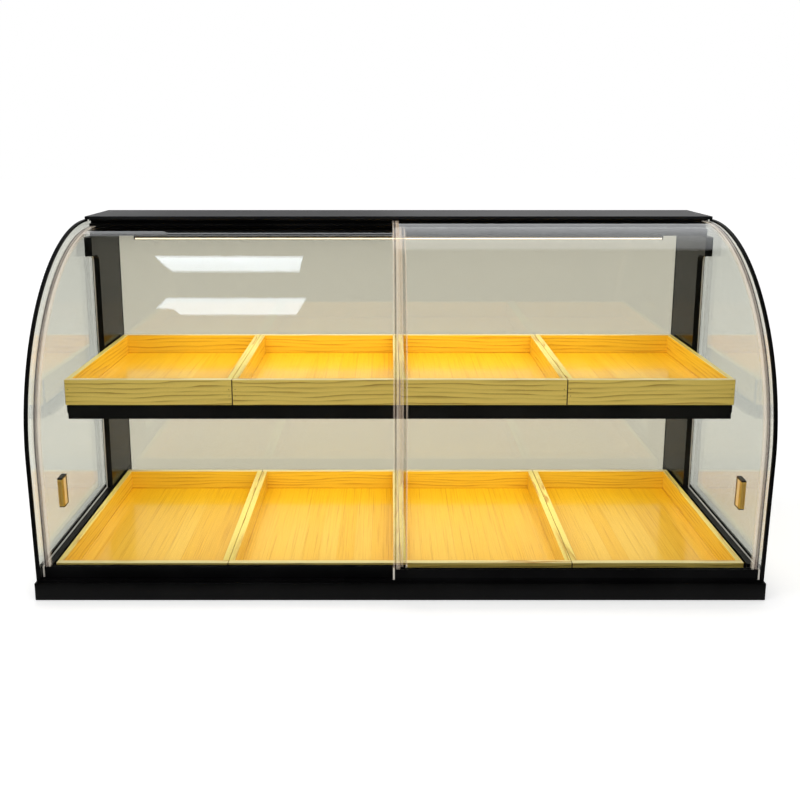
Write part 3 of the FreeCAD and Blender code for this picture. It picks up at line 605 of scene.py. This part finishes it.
@dataclass(frozen=True)
class PineFloor:
    """Gloss lacquered floor of glued strips that run from front to back."""

    name: str
    plan: TrayPlan
    pale: Colour
    deep: Colour
    rear: Colour
    late: Colour
    strip: float = 31.0
    ring: float = 3.6
    wave_depth: float = 12.0
    painted_rear_share: float = 0.62

    def material(self) -> bpy.types.Material:
        """Make the finish. Each strip has a tone of its own, and all get deeper towards the back as painted
        warm light from the light bar.
        """
        material, graph = new_material(self.name)
        x, y, z = graph.millimetres()
        tray, across = self.plan.tray_and_across(x)
        strips = across / self.strip + 0.37 * tray
        number = strips.floor()
        luck = graph.chance(number * 1.7 + tray * 31.0 + 0.3)
        wave = graph.noise((across / 11.0 + 40.0 * luck, y / 170.0, z / 50.0), 2.0)
        fibre = graph.noise((across / 0.7, y / 34.0, z / 9.0), 3.0)
        year = ((across + self.wave_depth * (wave - 0.5) + 90.0 * luck) / self.ring).fraction()
        line = year ** 2.4 * (1 - year.rise(0.9, 1.0)) * wave
        seam_place = strips - number
        seam = 1 - (seam_place.least(1 - seam_place) * self.strip).rise(0.1, 0.45)
        # Painted light: the tone turns deeper amber towards the back, where the light bar's warm light falls.
        length = self.plan.back - self.plan.front
        painted_rear_light = y.rise(self.plan.back - self.painted_rear_share * length, self.plan.back)
        tone = graph.mix(graph.mix(self.pale, self.deep, luck), self.rear, painted_rear_light)
        streak = graph.noise((across / 2.4 + 17.0 * luck, y / 190.0, z / 9.0), 4.0).rise(0.5, 0.72)
        shade = 0.34 * line + 0.3 * (fibre - 0.42) + 0.34 * streak + 0.36 * seam
        graph.show(graph.principled(
            Base_Color=graph.mix(tone, self.late, shade),
            Roughness=0.3 + 0.12 * (fibre - 0.5),
            Specular_IOR_Level=0.1,
            Coat_Weight=1.0,
            Coat_Roughness=0.14,
            Normal=graph.bump(fibre - 0.6 * seam, 0.015 * MM)))
        return material


BLACK_LACQUER = Coat("plinth_lacquer", (0.002, 0.002, 0.002), (0.004, 0.004, 0.004), 0.34, 0.08)
POWDER_COAT = Coat("black_powder_coat", (0.006, 0.007, 0.0065), (0.010, 0.011, 0.010), 0.42, 0.2,
                   grain_size=0.5, grain_height=0.03 * MM)
ANODISED = Coat("black_anodised_profile", (0.0025, 0.0025, 0.0028), (0.005, 0.005, 0.0055), 0.36, 0.12,
                draw=60.0)
ROOF_COAT = Coat("roof_coat", (0.007, 0.008, 0.0095), (0.013, 0.014, 0.016), 0.46, 0.165, patch_size=160.0)
EDGE_RUBBER = Coat("black_edge_rubber", (0.002, 0.002, 0.002), (0.005, 0.005, 0.005), 0.5, 0.1)
PALE_GASKET = Coat("pale_gasket", (0.55, 0.57, 0.56), (0.42, 0.44, 0.44), 0.5)
NYLON = Coat("pale_nylon", (0.78, 0.74, 0.66), (0.64, 0.60, 0.52), 0.45, grain_size=0.4)
MOULDED = Coat("black_plastic", (0.016, 0.016, 0.017), (0.022, 0.022, 0.023), 0.5, grain_size=0.4)
LEAD_SHEATH = Coat("black_lead", (0.012, 0.012, 0.012), (0.018, 0.018, 0.018), 0.45)
SOLDER_MASK = Coat("lamp_board", (0.8, 0.8, 0.77), (0.72, 0.73, 0.7), 0.4)
NAIL_STEEL = Coat("nail_steel", (0.075, 0.045, 0.02), (0.035, 0.02, 0.01), 0.5, metallic=0.4, grain_size=0.2)
# Painted shade for the shade inside the screws' cross recesses.
RECESS_PAINTED_SHADE = Coat("recess_painted_shade", (0.004, 0.004, 0.004), (0.009, 0.009, 0.009), 0.6, grain_size=0.2)
SLATE_PANEL = GlossPanel("gloss_slate_panel", (0.0045, 0.005, 0.0045), (0.011, 0.011, 0.0095), 0.14, 0.097)
SIDE_GLASS = ClearSheet("clear_side_glass", (0.83, 0.835, 0.795), 0.05, 0.02)
REAR_GLASS = ClearSheet("clear_rear_glass", (0.79, 0.775, 0.70), 0.06, 0.02)
ACRYLIC = ClearSheet("clear_acrylic", (0.95, 0.952, 0.945), 0.03, 0.02)
CHANNEL_METAL = DrawnMetal("light_aluminium", (0.72, 0.72, 0.71), (0.6, 0.6, 0.59), 0.3, (60.0, 0.5, 0.5))
BLACK_STEEL = DrawnMetal("black_screws", (0.03, 0.03, 0.03), (0.05, 0.05, 0.05), 0.35, (0.6, 0.6, 0.6))
BRIGHT_STEEL = DrawnMetal("bright_screws", (0.66, 0.66, 0.65), (0.5, 0.5, 0.49), 0.25, (0.6, 0.6, 0.6))
# The strips' lines are painted light: the pale, cream and white ones are painted highlights, and the dark,
# brown and grey ones painted shade.
STRIP_PALE_HIGHLIGHT, STRIP_DARK_SHADE, STRIP_ROSE = (0.90, 0.89, 0.86), (0.05, 0.04, 0.035), (0.80, 0.68, 0.60)
STRIP_BROWN_SHADE, STRIP_CREAM_HIGHLIGHT, STRIP_TAN = (0.20, 0.15, 0.12), (0.99, 0.90, 0.77), (0.95, 0.76, 0.58)
STRIP_WHITE_HIGHLIGHT, STRIP_GREY_SHADE = (0.99, 0.85, 0.71), (0.09, 0.06, 0.05)
OUTER_PAINTED_LINES: Lines = (
    (0.0, STRIP_PALE_HIGHLIGHT, 0.10), (0.24, STRIP_PALE_HIGHLIGHT, 0.10), (0.28, STRIP_DARK_SHADE, 0.66), (0.40, STRIP_DARK_SHADE, 0.58),
    (0.46, STRIP_ROSE, 0.12), (0.56, STRIP_ROSE, 0.12), (0.60, STRIP_BROWN_SHADE, 0.28), (0.68, STRIP_BROWN_SHADE, 0.26),
    (0.75, STRIP_CREAM_HIGHLIGHT, 0.24), (0.90, STRIP_CREAM_HIGHLIGHT, 0.22), (1.0, STRIP_CREAM_HIGHLIGHT, 0.08))
FRONT_PAINTED_LINES: Lines = (
    (0.0, STRIP_WHITE_HIGHLIGHT, 0.10), (0.17, STRIP_WHITE_HIGHLIGHT, 0.09), (0.23, STRIP_GREY_SHADE, 0.15), (0.37, STRIP_GREY_SHADE, 0.14),
    (0.44, STRIP_WHITE_HIGHLIGHT, 0.12), (0.58, STRIP_WHITE_HIGHLIGHT, 0.10), (0.68, STRIP_TAN, 0.08), (1.0, STRIP_TAN, 0.08))
REAR_PAINTED_LINES: Lines = (
    (0.0, STRIP_WHITE_HIGHLIGHT, 0.15), (0.17, STRIP_WHITE_HIGHLIGHT, 0.14), (0.23, STRIP_GREY_SHADE, 0.05), (0.46, STRIP_GREY_SHADE, 0.05),
    (0.52, STRIP_WHITE_HIGHLIGHT, 0.15), (0.64, STRIP_WHITE_HIGHLIGHT, 0.13), (0.71, STRIP_TAN, 0.08), (1.0, STRIP_TAN, 0.08))


def dress(material: bpy.types.Material, *nodes: str) -> None:
    """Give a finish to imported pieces.

    Args:
        material: The finish.
        nodes: Names of the pieces.
    """
    for node in nodes:
        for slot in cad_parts[node].material_slots:
            slot.material = material
        log.info("%s is finished in %s", node, material.name)


def add_piece(name: str, mesh: bmesh.types.BMesh, material: bpy.types.Material, body: str) -> bpy.types.Object:
    """Turn a finished bmesh into a piece that rides on a body.

    Args:
        name: The new piece's name.
        mesh: Its shape, in place. It is freed here.
        material: Its finish.
        body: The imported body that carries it.

    Returns:
        The new object.
    """
    data = bpy.data.meshes.new(name)
    mesh.to_mesh(data)
    mesh.free()
    data.materials.append(material)
    piece = bpy.data.objects.new(name, data)
    bpy.context.scene.collection.objects.link(piece)
    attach(piece, body)
    log.info("%s is new, on %s, with %d faces", name, body, len(data.polygons))
    return piece


def screw_heads(node: str) -> list[tuple[Vector, Vector]]:
    """Find the screws of a packed group.

    Args:
        node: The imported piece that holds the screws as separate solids.

    Returns:
        The middle of each head's face, and the direction that it faces.
    """
    mesh = bmesh.new()
    mesh.from_mesh(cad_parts[node].data)
    bmesh.ops.remove_doubles(mesh, verts=mesh.verts, dist=MERGE)
    waiting = set(mesh.verts)
    heads = []
    while waiting:
        island = [waiting.pop()]
        for vertex in island:
            joined = {edge.other_vert(vertex) for edge in vertex.link_edges} & waiting
            waiting -= joined
            island.extend(joined)
        points = [vertex.co for vertex in island]
        low = Vector(min(point[axis] for point in points) for axis in range(3))
        high = Vector(max(point[axis] for point in points) for axis in range(3))
        axis = max(range(3), key=lambda number: (high - low)[number])
        middle = (low + high) / 2
        widest = max(points, key=lambda point: sum((point - middle)[n] ** 2 for n in range(3) if n != axis))
        direction = Vector((0.0, 0.0, 0.0))
        direction[axis] = 1.0 if widest[axis] > middle[axis] else -1.0
        middle[axis] = high[axis] if direction[axis] > 0 else low[axis]
        heads.append((middle, direction))
    mesh.free()
    return sorted(heads, key=lambda head: tuple(head[0]))


def add_block(mesh: bmesh.types.BMesh, size: Vector, turn: Matrix) -> None:
    """Add a block to a bmesh.

    Args:
        mesh: The bmesh that gets it.
        size: Its three sides.
        turn: Where it goes and how it is turned.
    """
    made = bmesh.ops.create_cube(mesh, size=1.0)
    bmesh.ops.scale(mesh, vec=size, verts=made["verts"])
    bmesh.ops.transform(mesh, matrix=turn, verts=made["verts"])


def add_recesses(name: str, node: str) -> bpy.types.Object:
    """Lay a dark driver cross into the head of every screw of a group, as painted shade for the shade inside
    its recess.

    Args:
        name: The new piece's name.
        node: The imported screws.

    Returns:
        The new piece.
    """
    mesh = bmesh.new()
    for centre, direction in screw_heads(node):
        upright = Matrix.Translation(centre) @ direction.to_track_quat("Z", "Y").to_matrix().to_4x4()
        for quarter in range(2):
            turn = Matrix.Rotation(quarter * math.pi / 2 + math.pi / 4, 4, "Z")
            add_block(mesh, CROSS_ARM, upright @ turn)
    return add_piece(name, mesh, RECESS_PAINTED_SHADE.material(), CABINET)


class Assembly:
    """A part of the cabinet whose pieces are added and finished together."""

    def build(self) -> list[bpy.types.Object]:
        """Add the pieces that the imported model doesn't have, which are none unless a part says so."""
        return []

    def dress(self) -> None:
        """Finish the part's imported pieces."""
        raise NotImplementedError


@dataclass
class Base(Assembly):
    """Plinth rails, deck, curbs and the track that the doors run in."""

    rails: tuple[str, ...] = (
        "plinth_front_rail", "plinth_rear_rail", "plinth_left_rail", "plinth_right_rail", "base_deck")
    profiles: tuple[str, ...] = ("door_bottom_track", "left_base_curb", "right_base_curb", "rear_base_curb")

    def build(self) -> list[bpy.types.Object]:
        """Add the crosses of painted shade in the track's screws."""
        return [add_recesses("track_screw_recesses", "track_screws")]

    def dress(self) -> None:
        """Finish the base."""
        dress(BLACK_LACQUER.material(), *self.rails)
        dress(ANODISED.material(), *self.profiles)
        dress(BRIGHT_STEEL.material(), "track_screws")


@dataclass
class Carcass(Assembly):
    """Side frames, roof, guide, rear rail, glass, trims and the screws that hold them."""

    hands: tuple[Side, ...] = (Side.LEFT, Side.RIGHT)

    def build(self) -> list[bpy.types.Object]:
        """Add the crosses of painted shade in the assembly screws."""
        return [add_recesses("assembly_screw_recesses", "assembly_screws")]

    def dress(self) -> None:
        """Finish the carcass."""
        dress(SLATE_PANEL.material(), *[f"{hand.value}_side_frame" for hand in self.hands])
        dress(SIDE_GLASS.material(), *[f"{hand.value}_side_glass" for hand in self.hands])
        dress(REAR_GLASS.material(), "rear_glass")
        dress(EDGE_RUBBER.material(), *[f"{hand.value}_edge_trim" for hand in self.hands])
        dress(PALE_GASKET.material(), "glass_gaskets")
        dress(ROOF_COAT.material(), "roof_panel")
        dress(ANODISED.material(), "door_top_guide", "rear_top_rail")
        dress(BLACK_STEEL.material(), "assembly_screws")


@dataclass
class Shelf(Assembly):
    """Folded shelf and the bars that it hangs between."""

    nodes: tuple[str, ...] = ("shelf_panel", "left_shelf_arm", "right_shelf_arm")

    def dress(self) -> None:
        """Finish the shelf."""
        dress(POWDER_COAT.material(), *self.nodes)


@dataclass
class LightBar(Assembly):
    """Light channel, its lamps' board, diffuser and ends, and the supply behind it."""

    moulded: tuple[str, ...] = ("light_end_caps", "lead_cover", "power_inlet")
    lamp_pitch: float = 16.0
    lip: float = 1.3
    strength: float = 2.2

    def dress(self) -> None:
        """Finish the light bar."""
        dress(CHANNEL_METAL.material(), "light_channel")
        dress(self.diffuser_finish().material(), "light_diffuser")
        dress(SOLDER_MASK.material(), "light_board")
        dress(MOULDED.material(), *self.moulded)
        dress(LEAD_SHEATH.material(), "light_lead")

    def diffuser_finish(self) -> OpalLight:
        """The diffuser's finish, with the dim lip placed on its lower front edge."""
        low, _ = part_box("light_diffuser")
        return OpalLight("light_diffuser", colour=(1.0, 0.86, 0.60), gap_colour=(1.0, 0.80, 0.52),
                         dim_colour=(0.16, 0.14, 0.09), strength=self.strength, lamp_pitch=self.lamp_pitch,
                         front=low.y / MM, low=low.z / MM, lip=self.lip)


@dataclass
class Door(Assembly):
    """One sliding door with its clear strips, rail and pull."""

    side: Side
    lean: float = math.radians(2.0)
    strip_reach: float = 14.0
    pull_half_face: float = 2.4
    pull_face_band: float = 1.6

    def dress(self) -> None:
        """Finish the door."""
        name = f"{self.side.value}_door"
        dress(ACRYLIC.material(), f"{name}_panel")
        dress(self.strip_finish(name).material(), f"{name}_edge_strips")
        dress(ANODISED.material(), f"{name}_rail")
        dress(NYLON.material(), f"{name}_rail_caps", f"{name}_glides")
        dress(self.pull_finish(name).material(), f"{name}_pull")

    def strip_finish(self, name: str) -> EdgeProfile:
        """The strips' finish, with its lines counted from the ends of this door."""
        low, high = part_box(f"{name}_edge_strips")
        lines = (OUTER_PAINTED_LINES, REAR_PAINTED_LINES) if self.side is Side.LEFT else (FRONT_PAINTED_LINES, OUTER_PAINTED_LINES)
        return EdgeProfile(f"{name}_strip", low=low.x / MM, high=high.x / MM, reach=self.strip_reach,
                           low_lines=lines[0], high_lines=lines[1])

    def pull_finish(self, name: str) -> BrassPull:
        """The pull's finish, placed on this door's pull."""
        low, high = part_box(f"{name}_pull")
        middle = tuple((low + high) / (2 * MM))
        half_height = (high.z - low.z) / (2 * MM)
        half_depth = (high.y - low.y) / (2 * MM) - half_height * math.sin(self.lean)
        face_depth = self.pull_face_band - half_depth
        return BrassPull(f"{name}_pull", middle=middle, half_height=half_height,
                         half_face=self.pull_half_face, face_depth=face_depth, lean=self.lean)


@dataclass
class TrayRow(Assembly):
    """One row of four loose wooden trays, with the nails that hold their corners."""

    row: Row
    trays: int = 4
    board: float = 10.0 * MM
    nail_radius: float = 0.8 * MM
    nail_length: float = 0.6 * MM
    nail_stand: float = 0.06 * MM
    nail_taper: float = 0.85
    nail_heights: tuple[float, ...] = (0.36, 0.62)

    def names(self) -> list[str]:
        """Names of the row's trays, which are also their bodies."""
        return [f"{self.row.value}_tray_{number + 1}" for number in range(self.trays)]

    def plan(self) -> TrayPlan:
        """The row's places in millimetres, read from its first two trays."""
        first, second = self.names()[:2]
        low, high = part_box(f"{first}_boards")
        next_low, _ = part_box(f"{second}_boards")
        _, floor_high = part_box(f"{first}_floor")
        return TrayPlan(left=low.x / MM, pitch=(next_low.x - low.x) / MM, width=(high.x - low.x) / MM,
                        front=low.y / MM, back=high.y / MM, top=high.z / MM, floor=floor_high.z / MM,
                        board=self.board / MM)

    def build(self) -> list[bpy.types.Object]:
        """Add the nail heads of each tray."""
        return [self.nails(name) for name in self.names()]

    def nails(self, name: str) -> bpy.types.Object:
        """Nail heads where a tray's front and back boards meet its sides.

        Args:
            name: The tray.

        Returns:
            The new piece.
        """
        low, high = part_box(f"{name}_boards")
        mesh = bmesh.new()
        for x in (low.x + self.board / 2, high.x - self.board / 2):
            for share in self.nail_heights:
                z = low.z + share * (high.z - low.z)
                for y, outward in ((low.y, -1.0), (high.y, 1.0)):
                    depth = self.nail_length / 2 - self.nail_stand
                    place = Matrix.Translation((x, y - outward * depth, z))
                    turn = Matrix.Rotation(-outward * math.pi / 2, 4, "X")
                    bmesh.ops.create_cone(mesh, cap_ends=True, segments=16, radius1=self.nail_radius,
                                          radius2=self.nail_taper * self.nail_radius, depth=self.nail_length,
                                          matrix=place @ turn)
        return add_piece(f"{name}_nails", mesh, NAIL_STEEL.material(), name)

    def dress(self) -> None:
        """Finish the trays."""
        plan = self.plan()
        # These colours paint light in: a highlight on the rims, shade on the outer faces and in the seams
        # between trays, warm light on the inner faces and towards the back of the floors.
        boards = PineBoards(f"{self.row.value}_pine_boards", plan,
                            painted_shade_outer=(0.96, 0.73, 0.17), painted_shade_outer_late=(0.31, 0.18, 0.025),
                            painted_warm_inner=(0.99, 0.66, 0.045), painted_warm_inner_late=(0.56, 0.25, 0.012),
                            painted_lit_rim=(0.99, 0.89, 0.45), painted_lit_side_rim=(0.99, 0.84, 0.22),
                            painted_seam_shade=(0.06, 0.03, 0.012))
        floor = PineFloor(f"{self.row.value}_pine_floor", plan,
                          pale=(0.99, 0.66, 0.10), deep=(0.95, 0.57, 0.05),
                          rear=(0.99, 0.60, 0.012), late=(0.50, 0.22, 0.015))
        dress(boards.material(), *[f"{name}_boards" for name in self.names()])
        dress(floor.material(), *[f"{name}_floor" for name in self.names()])


@dataclass
class Studio:
    """Floor, surroundings, lamps and camera."""

    floor_half: float = 14.0
    fill: float = 0.8
    floor_glow: float = 0.4
    ceiling: float = 2.2
    pitch: float = math.radians(10.68)
    camera_place: Triple = (-0.020, -1.614, 0.752)
    camera_shift: tuple[float, float] = (0.0149, -0.119)
    focal: float = 40.5
    sensor: float = 36.0
    clear_layers: int = 24
    card_half: float = 2.0
    card_front: float = -1.0
    card_lift: float = 0.001
    card_gap: float = 0.02
    card_over: float = 0.05
    card_backs: tuple[float, float] = (3.0, 1.0)
    rear_card: tuple[float, float, float, float, float] = (-0.88, 0.02, 1.7, 1.08, 1.40)
    warm: Colour = (1.0, 0.92, 0.80)
    cool: Colour = (0.82, 0.90, 1.0)
    panel_glow: float = 7.6
    ceiling_light: float = 6.0
    shelf_light: float = 2.6
    roof_light: float = 6.3
    lamp_drop: float = 0.004
    panels: tuple[Plan, ...] = (
        ((-0.915, 0.859), (-0.345, 0.839), (-0.341, 0.305), (-0.802, 0.311)),
        ((-0.816, -0.413), (-0.313, -0.413), (-0.362, -0.846), (-0.793, -0.846), (-0.806, -0.696),
         (-0.868, -0.669)))

    def build(self) -> None:
        """Set up everything round the object."""
        scene = bpy.context.scene
        scene.view_settings.view_transform = "Standard"
        scene.cycles.transparent_max_bounces = self.clear_layers
        self.add_floor()
        self.add_dark_card()
        self.add_bright_card()
        self.add_surroundings()
        self.add_lamp("ceiling_panel_back", (-0.61, 0.54, self.ceiling), (0.52, 0.56), self.ceiling_light)
        self.add_lamp("ceiling_panel_front", (-0.59, -0.65, self.ceiling), (0.52, 0.44), self.ceiling_light)
        shelf_low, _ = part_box("shelf_panel")
        light_low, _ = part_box("light_diffuser")
        shelf_place = (0.0, 0.04, shelf_low.z - self.lamp_drop)
        roof_place = (0.0, light_low.y + 0.03, light_low.z - self.lamp_drop)
        self.add_lamp("under_shelf", shelf_place, (1.14, 0.3), self.shelf_light, self.warm)
        self.add_lamp("under_roof", roof_place, (1.12, 0.1), self.roof_light, self.warm)
        self.add_camera()

    def add_floor(self) -> None:
        """A pale floor that looks white where nothing shades it."""
        mesh = bmesh.new()
        bmesh.ops.create_grid(mesh, x_segments=1, y_segments=1, size=self.floor_half)
        data = bpy.data.meshes.new("floor")
        mesh.to_mesh(data)
        mesh.free()
        material, graph = new_material("pale_floor")
        seen = self.seen(graph)
        matt = graph.node("ShaderNodeBsdfDiffuse", inputs={"Color": (0.8, 0.8, 0.8)}).outputs[0]
        glow = graph.node("ShaderNodeEmission", inputs={"Strength": self.floor_glow}).outputs[0]
        both = graph.node("ShaderNodeAddShader", inputs={0: matt, 1: glow}).outputs[0]
        graph.show(graph.between(matt, both, seen))
        data.materials.append(material)
        floor = bpy.data.objects.new("floor", data)
        bpy.context.scene.collection.objects.link(floor)

    def add_dark_card(self) -> None:
        """Dark cards round the front and behind the left door's top, which only mirrored rays meet."""
        low, _ = CAD_BOX
        near, far = low.y - self.card_gap, self.card_front
        foot, top = self.card_lift, self.ceiling + self.card_over
        mesh = bmesh.new()
        for side, back in zip((-1.0, 1.0), self.card_backs):
            bend = ((near, foot), (far, foot), (far, top), (back, top))
            corners = [mesh.verts.new((0.0, y, z)) for y, z in bend]
            edges = [mesh.edges.new(pair) for pair in zip(corners, corners[1:])]
            made = bmesh.ops.extrude_edge_only(mesh, edges=edges)
            moved = [item for item in made["geom"] if isinstance(item, bmesh.types.BMVert)]
            bmesh.ops.translate(mesh, verts=moved, vec=(side * self.card_half, 0.0, 0.0))
        left, right, behind, bottom, upper = self.rear_card
        outline = ((left, bottom), (right, bottom), (right, upper), (left, upper))
        mesh.faces.new([mesh.verts.new((x, behind, z)) for x, z in outline])
        self.stage_card("dark_card", mesh, "ShaderNodeBsdfDiffuse", {"Color": (0.02, 0.02, 0.02)})

    def add_bright_card(self) -> None:
        """The room's two ceiling panels as the left door mirrors them."""
        mesh = bmesh.new()
        for outline in self.panels:
            mesh.faces.new([mesh.verts.new((x, y, self.ceiling)) for x, y in outline])
        self.stage_card("bright_card", mesh, "ShaderNodeEmission",
                        {"Color": self.cool, "Strength": self.panel_glow})

    def stage_card(self, name: str, mesh: bmesh.types.BMesh, shader: str, inputs: dict[str, Any]) -> None:
        """Set up a card that only mirrored rays meet.

        Args:
            name: The card's name.
            mesh: Its shape, which is freed.
            shader: The type of its shader node.
            inputs: The values of that node's sockets.
        """
        data = bpy.data.meshes.new(name)
        mesh.to_mesh(data)
        mesh.free()
        material, graph = new_material(name)
        graph.show(graph.node(shader, inputs=inputs).outputs[0])
        data.materials.append(material)
        card = bpy.data.objects.new(name, data)
        card.visible_camera = False
        card.visible_diffuse = False
        card.visible_transmission = False
        card.visible_shadow = False
        bpy.context.scene.collection.objects.link(card)

    def seen(self, graph: Graph) -> Field:
        """1 for what the camera, mirrors and glass see, and 0 for what only lights the object."""
        path = graph.node("ShaderNodeLightPath").outputs
        rays = [Field(graph, path[f"Is {kind} Ray"]) for kind in ("Camera", "Glossy", "Transmission")]
        return (rays[0] + rays[1] + rays[2]).least(1.0)

    def add_surroundings(self) -> None:
        """White all round to look at, and a softer light from it."""
        world = bpy.data.worlds.new("surroundings")
        world.use_nodes = True
        graph = Graph(world.node_tree)
        light = graph.node("ShaderNodeBackground", inputs={"Color": (1.0, 1.0, 1.0), "Strength": self.fill})
        white = graph.node("ShaderNodeBackground", inputs={"Color": (1.0, 1.0, 1.0), "Strength": 1.0})
        mixed = graph.between(light.outputs[0], white.outputs[0], self.seen(graph))
        graph.show(mixed, "ShaderNodeOutputWorld")
        bpy.context.scene.world = world

    def add_lamp(self, name: str, place: Triple, size: tuple[float, float], radiance: float,
                 colour: Colour = (1.0, 1.0, 1.0)) -> None:
        """Hang a panel that shines straight down, and that gloss surfaces don't mirror.

        Args:
            name: The lamp's name.
            place: Its middle.
            size: Its sides along X and Y.
            radiance: How bright it looks, where white is 1.
            colour: The colour of its light.
        """
        data = bpy.data.lights.new(name, "AREA")
        data.color = colour
        data.shape = "RECTANGLE"
        data.size, data.size_y = size
        data.energy = radiance * math.pi * size[0] * size[1]
        lamp = bpy.data.objects.new(name, data)
        lamp.location = place
        lamp.visible_camera = False
        lamp.visible_glossy = False
        bpy.context.scene.collection.objects.link(lamp)

    def add_camera(self) -> None:
        """A camera in front of the cabinet and above it, looking a little down."""
        data = bpy.data.cameras.new("camera")
        data.lens = self.focal
        data.sensor_width = self.sensor
        data.shift_x, data.shift_y = self.camera_shift
        camera = bpy.data.objects.new("camera", data)
        camera.location = self.camera_place
        camera.rotation_euler = (math.pi / 2 - self.pitch, 0.0, 0.0)
        bpy.context.scene.collection.objects.link(camera)
        bpy.context.scene.camera = camera


def main() -> None:
    """Build and finish every sub-assembly, then the studio."""
    logging.basicConfig(level=logging.INFO, format="%(name)s: %(message)s")
    assemblies = [Base(), Carcass(), Shelf(), LightBar(), Door(Side.LEFT), Door(Side.RIGHT),
                  TrayRow(Row.LOWER), TrayRow(Row.UPPER)]
    for assembly in assemblies:
        assembly.build()
        assembly.dress()
    Studio().build()


if __name__ == "__main__":
    main()
